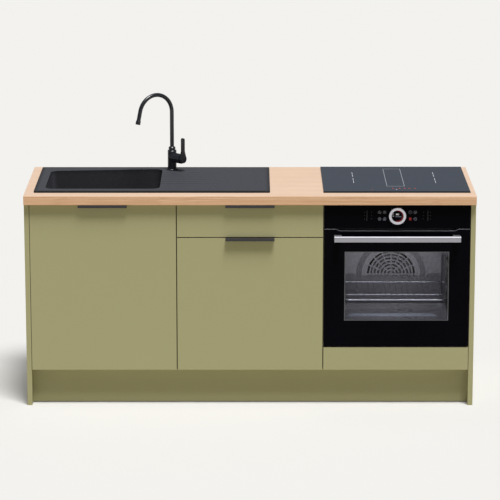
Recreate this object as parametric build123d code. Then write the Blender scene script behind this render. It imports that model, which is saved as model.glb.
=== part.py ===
from build123d import *
import os
from math import cos, radians, sin

# Kitchen base run of three units with worktop, inset sink, mixer tap, hob and built-in oven.
# Millimetres. X runs to the right, Y to the back and Z up, with the floor at zero.
# Depths are measured back from the face of the fronts and become Y through FRONT_Y.

# How far a cutting shape runs past the faces it cuts
OVERCUT = 1.0

# Base units
UNIT_WIDTH = 600.0
PLINTH_HEIGHT = 150.0
CARCASS_HEIGHT = 700.0
CARCASS_DEPTH = 560.0
BOARD_T = 18.0
BACK_T = 8.0
RAIL_WIDTH = 100.0
LOW_RAIL_HEIGHT = 70.0
END_PANEL_T = 20.0
WALL_HOLE_R = 3.5
WALL_HOLE_SPACING = 400.0
WALL_HOLE_DROP = 40.0

# Fronts
FRONT_T = 18.0
FRONT_BUFFER = 2.0
FRONT_GAP = 4.0
FRONT_TOP_GAP = 2.5
UPPER_FRONT_HEIGHT = 134.0
PULL_LENGTH = 200.0
PULL_SHEET = 1.5
PULL_REACH = 20.0
PULL_LIP = 10.5
PULL_FLANGE = 22.0
PULL_BEND_R = 0.6

# Plinth and legs
PLINTH_SETBACK = 50.0
PLINTH_T = 16.0
PLINTH_FLOOR_GAP = 3.0
PLINTH_TOP_GAP = 1.0
LEG_SIDE_INSET = 60.0
LEG_BACK_INSET = 60.0
LEG_BEHIND_PLINTH = 36.0
LEG_TUBE_R = 18.0
LEG_SCREW_R = 14.0
LEG_PLATE_R = 31.0
LEG_PLATE_T = 5.0
LEG_TUBE_BASE = 55.0
LEG_FOOT_R = 27.0
LEG_FOOT_T = 5.0
LEG_FIT = 0.2
CLIP_WALL = 3.5
CLIP_HEIGHT = 22.0
CLIP_PAD_WIDTH = 40.0
CLIP_PAD_T = 4.0
CLIP_NECK_WIDTH = 22.0

# Worktop
WORKTOP_T = 38.0
WORKTOP_OVERHANG = 20.0
WORKTOP_EDGE_R = 2.0
CUTOUT_CORNER_R = 12.0

# Sink
SINK_BACK_MARGIN = 30.0
DRAINER_WIDTH = 452.5
SINK_SIDE_INSET = 17.0
SINK_SETBACK = 45.0
SINK_CORNER_R = 9.0
SINK_RIM_T = 7.5
SINK_BEVEL_WIDTH = 20.0
SINK_BEVEL_DROP = 1.6
SINK_UNDERDECK_T = 4.0
SINK_FLANGE = 15.0
SINK_CUTOUT_FIT = 1.5
SINK_WALL = 9.0
BOWL_INSET_LEFT = 43.0
BOWL_INSET_FRONT = 47.0
BOWL_SIDE_MARGIN = 70.5
BOWL_BACK_MARGIN_LEFT = 88.0
BOWL_BACK_MARGIN_RIGHT = 48.0
BOWL_HEIGHT = 195.0
BOWL_DRAFT = 0.05
BOWL_CORNER_R = 34.0
BOWL_FLOOR_R = 16.0
GROOVE_COUNT = 6
GROOVE_PITCH = 45.0
GROOVE_FIRST = 152.0
GROOVE_R = 12.0
GROOVE_SINK = 2.0
GROOVE_LENGTH = 300.0

# Sink waste and trap
WASTE_HOLE_R = 45.0
WASTE_FLANGE_R = 56.0
WASTE_FLANGE_T = 2.5
WASTE_WALL = 2.0
WASTE_CUP_HEIGHT = 48.0
WASTE_TAIL_R = 20.0
WASTE_TAIL_HEIGHT = 26.0
WASTE_FIT = 0.4
WASTE_NUT_WALL = 12.0
WASTE_NUT_T = 9.0
BASKET_RIM_R = 49.0
BASKET_T = 1.5
BASKET_HEIGHT = 26.0
BASKET_TAPER = 6.5
BASKET_INNER_RING_R = 15.0
BASKET_OUTER_RING_R = 25.0
BASKET_HOLE_R = 2.6
BASKET_HOLES = 10
BASKET_KNOB_R = 6.0
BASKET_KNOB_HEIGHT = 18.0
TRAP_NUT_R = 29.0
TRAP_NUT_HEIGHT = 24.0
TRAP_PIPE_R = 20.0
TRAP_PIPE_WALL = 3.0
TRAP_DROP = 60.0
TRAP_BOTTLE_R = 35.0
TRAP_BOTTLE_HEIGHT = 95.0
TRAP_OUTLET_BELOW = 28.0
TRAP_NECK_R = 24.0
TRAP_NECK_LENGTH = 6.0
TRAP_NUT_TAPER = 9.5
TRAP_BACK_SPACE = 18.0

# Mixer tap
TAP_FROM_BOWL = 40.5
TAP_FROM_BACK = 59.0
TAP_BASE_R = 24.0
TAP_BASE_T = 5.0
TAP_BODY_R = 18.7
TAP_BODY_HEIGHT = 84.0
TAP_EDGE_R = 1.5
TAP_COLLAR_R = 14.5
TAP_COLLAR_HEIGHT = 15.0
TAP_SPIGOT_R = 10.0
TAP_SPIGOT_HEIGHT = 26.0
TAP_RUNNING_FIT = 0.05
SPOUT_R = 8.5
SPOUT_BORE_R = 6.5
SPOUT_STRAIGHT_LENGTH = 148.5
SPOUT_ARCH_R = 80.0
SPOUT_ARCH_ANGLE = 167.0
SPOUT_END_LENGTH = 40.0
SPOUT_TURN = 35.0
AERATOR_R = 10.3
AERATOR_LENGTH = 16.0
LEVER_TURN = 45.0
LEVER_HEIGHT = 53.5
STUB_R = 20.5
STUB_REACH = 44.0
STUB_PIN_R = 6.0
STUB_PIN_LENGTH = 9.0
CAP_GAP = 0.3
CAP_LENGTH = 15.0
LEVER_GAP = 2.0
LEVER_T = 10.0
LEVER_DISC_R = 17.0
LEVER_LENGTH = 90.0
LEVER_TIP_WIDTH = 14.0
LEVER_KNUCKLE_R = 4.0
LEVER_KNUCKLE_DROP = 12.5
LEVER_KNUCKLE_LENGTH = 22.0
TAP_SHANK_R = 16.0
TAP_HOLE_R = 17.5
TAP_SHANK_LENGTH = 34.0
TAP_WASHER_R = 26.0
TAP_WASHER_T = 3.0
TAP_NUT_R = 22.0
TAP_NUT_T = 9.0
TAP_INLET_R = 5.0
TAP_INLET_SPREAD = 14.0
TAP_INLET_LENGTH = 16.0

# Hob
HOB_BACK_MARGIN = 15.0
HOB_SETBACK = 45.0
HOB_GLASS_T = 4.0
HOB_EDGE_R = 1.2
HOB_LEDGE_T = 1.0
HOB_LEDGE = 8.0
HOB_SIDE_CLEARANCE = 4.0
HOB_CASING_INSET = 17.0
HOB_CASING_HEIGHT = 49.0
HOB_SHEET = 1.5
HOB_CUTOUT_FIT = 2.0

# Oven body
OVEN_SIDE_GAP = 3.0
OVEN_FILLER_ZONE = 100.0
OVEN_SHELF_LIFT = 6.0
OVEN_SHELF_BACK_SPACE = 60.0
FILLER_GAP = 3.0
OVEN_NICHE_CLEARANCE = 3.0
OVEN_HEAD_SPACE = 17.0
OVEN_BACK_SPACE = 35.0
OVEN_SHEET = 1.5
OVEN_FACE = 42.0
OVEN_FACE_T = 2.0
CAVITY_SIDE_SPACE = 39.0
CAVITY_HEAD_SPACE = 188.0
CAVITY_BACK_SPACE = 86.0
CAVITY_LIFT = 32.0
CAVITY_WALL = 2.0
CAVITY_CORNER_R = 14.0
SEAL_INSET = 4.0
SEAL_WIDTH = 8.0
SEAL_GAP = 0.3
VENT_SLOT_COUNT = 9
VENT_SLOT_LENGTH = 70.0
VENT_SLOT_WIDTH = 5.0
VENT_SLOT_PITCH = 14.0
VENT_FROM_TOP = 60.0

# Oven fan, elements and furniture
BAFFLE_SIDE_SPACE = 25.0
BAFFLE_BELOW_ROOF = 41.0
BAFFLE_ABOVE_FLOOR = 12.0
BAFFLE_DEPTH = 22.0
BAFFLE_CORNER_R = 30.0
BAFFLE_RING_R = 125.0
BAFFLE_RING_WIDTH = 22.0
BAFFLE_RING_RAISE = 3.0
GRILLE_RINGS = 7
GRILLE_FIRST_R = 12.0
GRILLE_PITCH = 14.4
GRILLE_SLOT = 8.4
GRILLE_FIRST_SPOKES = 4
GRILLE_SPOKE_WIDTH = 5.5
FAN_R = 72.0
FAN_DISC_T = 1.5
FAN_BLADES = 12
FAN_BLADE_LENGTH = 30.0
FAN_BLADE_ANGLE = 30.0
FAN_BLADE_WIDTH = 9.0
FAN_HUB_R = 11.0
FAN_SHAFT_R = 4.0
FAN_FIT = 0.06
FAN_WALL_GAP = 4.0
MOTOR_R = 38.0
MOTOR_LENGTH = 62.0
MOTOR_PLATE = 100.0
MOTOR_PLATE_T = 3.0
RING_ELEMENT_R = 95.0
ELEMENT_R = 3.25
ELEMENT_TAIL_R = 2.6
ELEMENT_TAIL_SIDE = 13.0
GRILL_BELOW_ROOF = 20.0
GRILL_REACH = 300.0
GRILL_LEG_PITCH = 60.0
GRILL_LEGS = 6
GRILL_BEND_R = 22.0
LAMP_R = 15.0
LAMP_PROUD = 12.0
LAMP_WALL_SPACE = 45.0
LAMP_BELOW_ROOF = 19.0
LADDER_WIRE_R = 2.5
LADDER_WIRE_OFFSET = 3.5
LADDER_STUD_R = 3.4
LADDER_STUD_INSET = 9.0
LADDER_WALL_GAP = 6.5
LADDER_FRONT = 30.0
LADDER_BACK = 30.0
LADDER_POST_INSET = 40.0
LADDER_LEVELS = 5
LADDER_FIRST = 42.0
LADDER_PITCH = 48.0
LADDER_SLOT = 14.0
SHELF_PLAY = 1.0
RACK_LEVEL = 2
RACK_FRAME_R = 3.0
RACK_BEND_R = 12.0
RACK_BAR_R = 2.4
RACK_BAR_SETBACK = 88.0
RACK_BACK_SPACE = 25.0
RACK_WIRE_R = 1.6
RACK_WIRE_PITCH = 23.0
RACK_SEAT = 0.2
TRAY_LEVEL = 0
TRAY_HEIGHT = 24.0
TRAY_RIM = 9.0
TRAY_SHEET = 1.2
TRAY_DRAFT = 0.35
TRAY_CORNER_R = 20.0

# Oven control panel
CONTROL_HEIGHT = 95.0
CONTROL_GLASS_T = 5.0
CONTROL_HOUSING_SPACE = 3.0
CONTROL_HOUSING_HEIGHT = 74.0
CONTROL_HOUSING_WALL = 2.0
RING_R = 35.0
RING_INNER_R = 24.5
RING_PROUD = 14.0
RING_GAP = 0.4
RING_EDGE_R = 2.0
RING_DROP = 43.0
DISPLAY_PROUD = 9.0
DISPLAY_FIT = 0.3

# Oven door
DOOR_SEAM = 4.0
DOOR_BASE_LIFT = 2.5
DOOR_GLASS_T = 5.0
DOOR_TRIM_T = 2.0
DOOR_VENT_SPACE = 62.0
DOOR_VENT_DROP = 7.0
DOOR_VENT_SLOPE = 14.0
DOOR_FRAME_INSET = 6.0
DOOR_MASK_T = 3.0
DOOR_FRAME_RAIL = 32.0
DOOR_FRAME_BACK = 17.0
DOOR_PACK_SPACE = 11.0
DOOR_PACK_RAIL = 26.0
DOOR_PACK_BACK = 32.0
DOOR_PACK_LIFT = 18.0
DOOR_PACK_DROP = 22.0
DOOR_INNER_GLASS_T = 4.0
DOOR_INNER_GLASS_INSET = 5.0
WINDOW_SIDE_SPACE = 83.5
WINDOW_LIFT = 109.5
WINDOW_DROP = 95.0
WINDOW_CORNER_R = 6.0
HINGE_DEPTH = 10.0
HINGE_LIFT = 11.0
HINGE_PIN_R = 3.0
HINGE_FIT = 0.05
HINGE_EYE_R = 4.7
HINGE_ARM_HALF = 4.0
HINGE_ARM_T = 6.0
HINGE_PACK_INSET = 10.0
HINGE_SLOT_FIT = 1.5
HANDLE_SIDE_SPACE = 40.0
HANDLE_REACH = 48.0
HANDLE_BAR_T = 11.0
HANDLE_BAR_HEIGHT = 24.0
HANDLE_EDGE_R = 3.5
HANDLE_POST_WIDTH = 30.0
HANDLE_POST_HEIGHT = 18.0
HANDLE_DROP = 34.0

# Sink door hinges
CUP_R = 17.5
CUP_DEPTH = 12.0
CUP_WALL = 1.5
CUP_EDGE = 22.5
CUP_PLATE_HEIGHT = 52.0
CUP_PLATE_WIDTH = 38.0
CUP_PLATE_T = 1.5
CUP_FIT = 0.05
HINGE_END_DISTANCE = 100.0
ARM_FROM_EDGE = 20.5
ARM_T = 10.0
ARM_HALF_HEIGHT = 6.0
ARM_TIP_DEPTH = 10.0
ARM_PLATE_FRONT = 37.0
ARM_PLATE_LENGTH = 48.0
ARM_PLATE_HEIGHT = 32.0
ARM_PLATE_T = 8.0

# Drawers and telescopic runners
RUNNER_SPACE = 12.7
RUNNER_BACK_SPACE = 58.0
RUNNER_HEIGHT = 45.0
RUNNER_WEB = 1.6
RUNNER_LIP = 1.8
RUNNER_PLAY = 0.5
RUNNER_OUTER_WIDTH = 9.5
RUNNER_MID_OFFSET = 3.0
RUNNER_MID_WIDTH = 8.0
RUNNER_INNER_WIDTH = 6.6
RUNNER_FRONT_INSET = 2.0
DRAWER_BOARD_T = 16.0
DRAWER_BASE_T = 10.0
DRAWER_BASE_LIFT = 10.0
UPPER_BOX_LIFT = 8.0
UPPER_BOX_HEIGHT = 84.0
LOWER_BOX_LIFT = 30.0
LOWER_BOX_HEIGHT = 240.0
RUNNER_LIFT = 30.0

# Values worked out from the sizes above
RUN_WIDTH = 3 * UNIT_WIDTH
SINK_UNIT_X = -RUN_WIDTH / 2
DRAWER_UNIT_X = SINK_UNIT_X + UNIT_WIDTH
OVEN_UNIT_X = DRAWER_UNIT_X + UNIT_WIDTH
UNITS = (SINK_UNIT_X, DRAWER_UNIT_X, OVEN_UNIT_X)
CARCASS_FRONT = FRONT_T + FRONT_BUFFER
FRONT_DEPTH = CARCASS_FRONT + CARCASS_DEPTH
FRONT_Y = (HANDLE_REACH - FRONT_DEPTH) / 2
CARCASS_TOP = PLINTH_HEIGHT + CARCASS_HEIGHT
WORKTOP_TOP = CARCASS_TOP + WORKTOP_T
FRONT_BASE = PLINTH_HEIGHT + FRONT_GAP / 2
FRONT_TOP = CARCASS_TOP - FRONT_TOP_GAP
UPPER_FRONT_BASE = FRONT_TOP - UPPER_FRONT_HEIGHT
LOWER_FRONT_TOP = UPPER_FRONT_BASE - FRONT_GAP
PLINTH_BACK = PLINTH_SETBACK + PLINTH_T
LEG_FRONT_DEPTH = PLINTH_BACK + LEG_BEHIND_PLINTH
LEG_BACK_DEPTH = FRONT_DEPTH - LEG_BACK_INSET

SINK_DEPTH = FRONT_DEPTH - SINK_SETBACK - SINK_BACK_MARGIN
BOWL_WIDTH = UNIT_WIDTH - SINK_SIDE_INSET - BOWL_INSET_LEFT - BOWL_SIDE_MARGIN
BOWL_DEPTH_LEFT = SINK_DEPTH - BOWL_INSET_FRONT - BOWL_BACK_MARGIN_LEFT
BOWL_DEPTH_RIGHT = SINK_DEPTH - BOWL_INSET_FRONT - BOWL_BACK_MARGIN_RIGHT
SINK_WIDTH = BOWL_INSET_LEFT + BOWL_WIDTH + DRAINER_WIDTH
SINK_LEFT = SINK_UNIT_X + SINK_SIDE_INSET
SINK_RIGHT = SINK_LEFT + SINK_WIDTH
SINK_BACK = SINK_SETBACK + SINK_DEPTH
SINK_TOP = WORKTOP_TOP + SINK_RIM_T
BOWL_LEFT = SINK_LEFT + BOWL_INSET_LEFT
BOWL_RIGHT = BOWL_LEFT + BOWL_WIDTH
BOWL_FRONT = SINK_SETBACK + BOWL_INSET_FRONT
BOWL_FLOOR = SINK_TOP - BOWL_HEIGHT
WASTE_X = (BOWL_LEFT + BOWL_RIGHT) / 2
WASTE_DEPTH = BOWL_FRONT + (BOWL_DEPTH_LEFT + BOWL_DEPTH_RIGHT) / 4
WASTE_TOP = BOWL_FLOOR + WASTE_FLANGE_T
WASTE_CUP_R = WASTE_HOLE_R - WASTE_FIT
WASTE_CUP_BASE = WASTE_TOP - WASTE_CUP_HEIGHT
WASTE_END = WASTE_CUP_BASE - WASTE_TAIL_HEIGHT
TRAP_OUTLET_LENGTH = FRONT_DEPTH - TRAP_BACK_SPACE - WASTE_DEPTH

TAP_X = BOWL_RIGHT + TAP_FROM_BOWL
TAP_SETBACK = SINK_BACK - TAP_FROM_BACK
TAP_TOP = SINK_TOP + TAP_BODY_HEIGHT
LEVER_Z = SINK_TOP + LEVER_HEIGHT
CAP_START = STUB_REACH + CAP_GAP
CAP_END = CAP_START + CAP_LENGTH
LEVER_START = CAP_END + LEVER_GAP
KNUCKLE_REACH = CAP_END + LEVER_GAP / 4

HOB_WIDTH = UNIT_WIDTH
HOB_DEPTH = FRONT_DEPTH - HOB_SETBACK - HOB_BACK_MARGIN
HOB_CASING_WIDTH = UNIT_WIDTH - 2 * (BOARD_T + HOB_SIDE_CLEARANCE)
HOB_CASING_DEPTH = HOB_DEPTH - 2 * HOB_CASING_INSET
HOB_X = OVEN_UNIT_X + UNIT_WIDTH / 2
HOB_CENTRE_DEPTH = HOB_SETBACK + HOB_DEPTH / 2

OVEN_X = OVEN_UNIT_X + UNIT_WIDTH / 2
OVEN_FRONT_WIDTH = UNIT_WIDTH - 2 * OVEN_SIDE_GAP
OVEN_FRONT_BASE = PLINTH_HEIGHT + OVEN_FILLER_ZONE
OVEN_BASE = OVEN_FRONT_BASE + OVEN_SHELF_LIFT
OVEN_TOP = CARCASS_TOP - OVEN_HEAD_SPACE
OVEN_BODY_WIDTH = UNIT_WIDTH - 2 * (BOARD_T + OVEN_NICHE_CLEARANCE)
OVEN_BODY_HEIGHT = OVEN_TOP - OVEN_BASE
OVEN_BODY_BACK = FRONT_DEPTH - OVEN_BACK_SPACE
OVEN_SHELF_DEPTH = CARCASS_DEPTH - OVEN_SHELF_BACK_SPACE
OVEN_INSIDE = OVEN_FACE + OVEN_FACE_T
CAVITY_BASE = OVEN_BASE + CAVITY_LIFT
CAVITY_TOP = OVEN_TOP - CAVITY_HEAD_SPACE
CAVITY_BACK = OVEN_BODY_BACK - CAVITY_BACK_SPACE
CAVITY_WIDTH = OVEN_BODY_WIDTH - 2 * CAVITY_SIDE_SPACE
CAVITY_HEIGHT = CAVITY_TOP - CAVITY_BASE
BAFFLE_WIDTH = CAVITY_WIDTH - 2 * BAFFLE_SIDE_SPACE
BAFFLE_HEIGHT = CAVITY_HEIGHT - BAFFLE_BELOW_ROOF - BAFFLE_ABOVE_FLOOR
FAN_Z = CAVITY_BASE + BAFFLE_ABOVE_FLOOR + BAFFLE_HEIGHT / 2
LAMP_SIDE = CAVITY_WIDTH / 2 - LAMP_WALL_SPACE
CONTROL_TOP = CARCASS_TOP - FRONT_GAP
CONTROL_BASE = CONTROL_TOP - CONTROL_HEIGHT
CONTROL_HOUSING_WIDTH = OVEN_BODY_WIDTH - 2 * CONTROL_HOUSING_SPACE
RING_Z = CONTROL_TOP - RING_DROP
DOOR_BASE = OVEN_FRONT_BASE + DOOR_BASE_LIFT
DOOR_TOP = CONTROL_BASE - DOOR_SEAM
DOOR_FRAME_TOP = DOOR_TOP - DOOR_VENT_DROP - DOOR_TRIM_T
DOOR_VENT_WIDTH = OVEN_FRONT_WIDTH - 2 * DOOR_VENT_SPACE
DOOR_PACK_WIDTH = OVEN_BODY_WIDTH - 2 * DOOR_PACK_SPACE
DOOR_PACK_BASE = DOOR_BASE + DOOR_PACK_LIFT
DOOR_PACK_TOP = DOOR_TOP - DOOR_PACK_DROP
DOOR_BACK = DOOR_PACK_BACK + DOOR_INNER_GLASS_T
WINDOW_TOP = DOOR_TOP - WINDOW_DROP
WINDOW_WIDTH = OVEN_FRONT_WIDTH - 2 * WINDOW_SIDE_SPACE
WINDOW_HEIGHT = WINDOW_TOP - DOOR_BASE - WINDOW_LIFT
HINGE_Z = OVEN_FRONT_BASE + HINGE_LIFT
HINGE_SIDE = DOOR_PACK_WIDTH / 2 - HINGE_PACK_INSET
HANDLE_Z = DOOR_TOP - HANDLE_DROP
HANDLE_LENGTH = OVEN_FRONT_WIDTH - 2 * HANDLE_SIDE_SPACE

SINK_DOOR_LEFT = SINK_UNIT_X + FRONT_GAP / 2
HINGE_HEIGHTS = (FRONT_BASE + HINGE_END_DISTANCE, FRONT_TOP - HINGE_END_DISTANCE)
RUNNER_FRONT = CARCASS_FRONT + RUNNER_FRONT_INSET
RUNNER_LENGTH = FRONT_DEPTH - RUNNER_BACK_SPACE - RUNNER_FRONT
UPPER_BOX_BASE = UPPER_FRONT_BASE + UPPER_BOX_LIFT
LOWER_BOX_BASE = FRONT_BASE + LOWER_BOX_LIFT


# Shared helpers

def point(x, depth, z):
    """Point from its place across, behind the fronts and above the floor."""
    return Vector(x, FRONT_Y + depth, z)


def block(x, depth, z):
    """Box between three pairs of limits."""
    low = point(x[0], depth[0], z[0])
    high = point(x[1], depth[1], z[1])
    size = high - low
    return Location((low + high) * 0.5) * Box(size.X, size.Y, size.Z)


def rod(start, end, radius):
    """Round bar between two points."""
    along = end - start
    place = Plane(origin=start, z_dir=along)
    return place * Cylinder(radius, along.length, align=(Align.CENTER, Align.CENTER, Align.MIN))


def turned(outline, place):
    """Solid turned about a vertical axis at a point, from radius and height pairs."""
    face = Plane.XZ * make_face(Polyline(*outline, close=True))
    return Location(place) * revolve(face, Axis.Z)


def plate(width, height, radius, thickness, place):
    """Rounded upright plate, centred across on a point and growing back from it."""
    face = Plane(origin=place, x_dir=(1, 0, 0), z_dir=(0, 1, 0)) * RectangleRounded(width, height, radius)
    return extrude(face, amount=thickness, dir=(0, 1, 0))


def group(pieces):
    """Several separate solids kept under one name."""
    return Compound([solid for piece in pieces for solid in piece.solids()])


def between(unit_x):
    """Space between the two side boards of a unit."""
    return (unit_x + BOARD_T, unit_x + UNIT_WIDTH - BOARD_T)


def front_span(unit_x):
    """Width of a front, with half a gap on each side."""
    return (unit_x + FRONT_GAP / 2, unit_x + UNIT_WIDTH - FRONT_GAP / 2)


# Carcass boards

def end_panel(inner_x, outer_x):
    return block(sorted((inner_x, outer_x)), (0, FRONT_DEPTH), (0, CARCASS_TOP))


def left_end_panel():
    return end_panel(-RUN_WIDTH / 2, -RUN_WIDTH / 2 - END_PANEL_T)


def right_end_panel():
    return end_panel(RUN_WIDTH / 2, RUN_WIDTH / 2 + END_PANEL_T)


def carcass_sides():
    depth = (CARCASS_FRONT, FRONT_DEPTH)
    height = (PLINTH_HEIGHT, CARCASS_TOP)
    boards = []
    for unit_x in UNITS:
        inner = between(unit_x)
        boards.append(block((unit_x, inner[0]), depth, height))
        boards.append(block((inner[1], unit_x + UNIT_WIDTH), depth, height))
    return group(boards)


def carcass_floors():
    height = (PLINTH_HEIGHT, PLINTH_HEIGHT + BOARD_T)
    return group([block(between(x), (CARCASS_FRONT, FRONT_DEPTH), height) for x in UNITS])


def wall_rail(unit_x):
    """Upright back rail with the two holes that screw the unit to the wall."""
    back = (FRONT_DEPTH - BOARD_T, FRONT_DEPTH)
    rail = block(between(unit_x), back, (CARCASS_TOP - RAIL_WIDTH, CARCASS_TOP))
    middle = unit_x + UNIT_WIDTH / 2
    height = CARCASS_TOP - WALL_HOLE_DROP
    for side in (-1, 1):
        x = middle + side * WALL_HOLE_SPACING / 2
        start = point(x, back[0] - OVERCUT, height)
        rail -= rod(start, point(x, back[1] + OVERCUT, height), WALL_HOLE_R)
    return rail


def carcass_rails():
    low = (PLINTH_HEIGHT + BOARD_T, PLINTH_HEIGHT + BOARD_T + LOW_RAIL_HEIGHT)
    upright_back = (FRONT_DEPTH - BOARD_T, FRONT_DEPTH)
    flat = (CARCASS_TOP - BOARD_T, CARCASS_TOP)
    back_edge = FRONT_DEPTH - BACK_T
    sink_front = (CARCASS_FRONT, CARCASS_FRONT + BOARD_T)
    sink_height = (CARCASS_TOP - RAIL_WIDTH + BOARD_T, CARCASS_TOP)
    return group([
        block(between(SINK_UNIT_X), sink_front, sink_height),
        wall_rail(SINK_UNIT_X),
        block(between(SINK_UNIT_X), upright_back, low),
        block(between(DRAWER_UNIT_X), (CARCASS_FRONT, CARCASS_FRONT + RAIL_WIDTH), flat),
        block(between(DRAWER_UNIT_X), (back_edge - RAIL_WIDTH, back_edge), flat),
        block(between(OVEN_UNIT_X), upright_back, (CARCASS_TOP - RAIL_WIDTH, CARCASS_TOP)),
        block(between(OVEN_UNIT_X), upright_back, low),
    ])


def drawer_unit_back():
    depth = (FRONT_DEPTH - BACK_T, FRONT_DEPTH)
    return block(between(DRAWER_UNIT_X), depth, (PLINTH_HEIGHT + BOARD_T, CARCASS_TOP))


def oven_shelf():
    depth = (CARCASS_FRONT, CARCASS_FRONT + OVEN_SHELF_DEPTH)
    return block(between(OVEN_UNIT_X), depth, (OVEN_BASE - BOARD_T, OVEN_BASE))


def filler_panel():
    height = (FRONT_BASE, OVEN_FRONT_BASE - FILLER_GAP)
    return block(front_span(OVEN_UNIT_X), (0, CARCASS_FRONT), height)


# Plinth and legs

def plinth():
    height = (PLINTH_FLOOR_GAP, PLINTH_HEIGHT - PLINTH_TOP_GAP)
    return block((-RUN_WIDTH / 2, RUN_WIDTH / 2), (PLINTH_SETBACK, PLINTH_BACK), height)


def leg_places(depth):
    """Floor points under the legs of one row."""
    insets = (LEG_SIDE_INSET, UNIT_WIDTH - LEG_SIDE_INSET)
    return [point(unit_x + inset, depth, 0) for unit_x in UNITS for inset in insets]


def adjustable_legs():
    bore = LEG_SCREW_R + LEG_FIT
    plate_base = PLINTH_HEIGHT - LEG_PLATE_T
    screw_top = plate_base - LEG_TUBE_R
    socket = (
        (bore, LEG_TUBE_BASE), (LEG_TUBE_R, LEG_TUBE_BASE), (LEG_TUBE_R, plate_base),
        (LEG_PLATE_R, plate_base), (LEG_PLATE_R, PLINTH_HEIGHT), (0, PLINTH_HEIGHT),
        (0, screw_top + LEG_FIT), (bore, screw_top + LEG_FIT),
    )
    foot = (
        (0, 0), (LEG_FOOT_R, 0), (LEG_FOOT_R, LEG_FOOT_T), (LEG_SCREW_R, 2 * LEG_FOOT_T),
        (LEG_SCREW_R, screw_top), (0, screw_top),
    )
    places = leg_places(LEG_FRONT_DEPTH) + leg_places(LEG_BACK_DEPTH)
    return group([turned(outline, place) for place in places for outline in (socket, foot)])


def plinth_clip(place):
    """Spring clip that grips a leg tube and holds the plinth board."""
    middle = (LEG_TUBE_BASE + PLINTH_HEIGHT) / 2
    height = (middle - CLIP_HEIGHT / 2, middle + CLIP_HEIGHT / 2)
    depth = LEG_FRONT_DEPTH
    base = Vector(place.X, place.Y, height[0])
    top = Vector(place.X, place.Y, height[1])
    bore = LEG_TUBE_R + LEG_FIT
    half_pad = CLIP_PAD_WIDTH / 2
    half_neck = CLIP_NECK_WIDTH / 2
    clip = rod(base, top, bore + CLIP_WALL)
    clip += block((place.X - half_neck, place.X + half_neck), (PLINTH_BACK, depth), height)
    clip += block((place.X - half_pad, place.X + half_pad), (PLINTH_BACK, PLINTH_BACK + CLIP_PAD_T), height)
    clip -= rod(base, top, bore)
    mouth = (depth + bore / 2, depth + bore + 2 * CLIP_WALL)
    return clip - block((place.X - bore, place.X + bore), mouth, height)


def plinth_clips():
    return group([plinth_clip(place) for place in leg_places(LEG_FRONT_DEPTH)])


# Worktop

def cutout(centre, width, depth):
    face = Location((centre.X, centre.Y, CARCASS_TOP)) * RectangleRounded(width, depth, CUTOUT_CORNER_R)
    return extrude(face, amount=WORKTOP_T)


def sink_centre():
    return point((SINK_LEFT + SINK_RIGHT) / 2, (SINK_SETBACK + SINK_BACK) / 2, WORKTOP_TOP)


def hob_centre():
    return point(HOB_X, HOB_CENTRE_DEPTH, WORKTOP_TOP)


def worktop():
    half = RUN_WIDTH / 2 + END_PANEL_T
    board = block((-half, half), (-WORKTOP_OVERHANG, FRONT_DEPTH), (CARCASS_TOP, WORKTOP_TOP))
    board = fillet(board.edges().filter_by(Axis.X).group_by(Axis.Y)[0], WORKTOP_EDGE_R)
    board -= cutout(sink_centre(), SINK_WIDTH - 2 * SINK_FLANGE, SINK_DEPTH - 2 * SINK_FLANGE)
    hob_gap = 2 * HOB_CUTOUT_FIT
    board -= cutout(hob_centre(), HOB_CASING_WIDTH + hob_gap, HOB_CASING_DEPTH + hob_gap)
    return board


# Sink

def bowl_outline(grow, z):
    """Bowl from above, its back edge slanting away to the right."""
    left = BOWL_LEFT - grow
    right = BOWL_RIGHT + grow
    front = BOWL_FRONT - grow
    corners = (
        point(left, front, 0), point(right, front, 0),
        point(right, BOWL_FRONT + BOWL_DEPTH_RIGHT + grow, 0),
        point(left, BOWL_FRONT + BOWL_DEPTH_LEFT + grow, 0),
    )
    face = make_face(Polyline(*corners, close=True))
    return Location((0, 0, z)) * fillet(face.vertices(), BOWL_CORNER_R + grow)


def bowl_block(top, floor, grow):
    """Bowl shape drawn in towards its floor, with the floor edge rounded."""
    shrink = (top - floor) * BOWL_DRAFT
    form = loft([bowl_outline(grow, top), bowl_outline(grow - shrink, floor)], ruled=True)
    return fillet(form.edges().group_by(Axis.Z)[0], BOWL_FLOOR_R)


def sink_deck():
    """Rim plate with a shallow bevel round its edge, and the thicker deck inside the cut-out."""
    centre = sink_centre()
    outline = RectangleRounded(SINK_WIDTH, SINK_DEPTH, SINK_CORNER_R)
    bevel = 2 * SINK_BEVEL_WIDTH
    inner = RectangleRounded(SINK_WIDTH - bevel, SINK_DEPTH - bevel, SINK_CORNER_R)
    edge = SINK_RIM_T - SINK_BEVEL_DROP
    deck = extrude(outline, amount=edge)
    deck += loft([Pos(0, 0, edge) * outline, Pos(0, 0, SINK_RIM_T) * inner], ruled=True)
    step = 2 * (SINK_FLANGE + SINK_CUTOUT_FIT)
    under = RectangleRounded(SINK_WIDTH - step, SINK_DEPTH - step, CUTOUT_CORNER_R)
    deck += extrude(under, amount=-SINK_UNDERDECK_T)
    return Location(centre) * deck


def drainer_grooves():
    """Runnels that fade out away from the bowl."""
    grooves = []
    for i in range(GROOVE_COUNT):
        depth = SINK_SETBACK + GROOVE_FIRST + i * GROOVE_PITCH
        deep = point(BOWL_RIGHT - GROOVE_R, depth, SINK_TOP + GROOVE_R - GROOVE_SINK)
        fade = point(BOWL_RIGHT + GROOVE_LENGTH, depth, SINK_TOP + GROOVE_R)
        grooves.append(rod(deep, fade, GROOVE_R))
    return grooves


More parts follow.
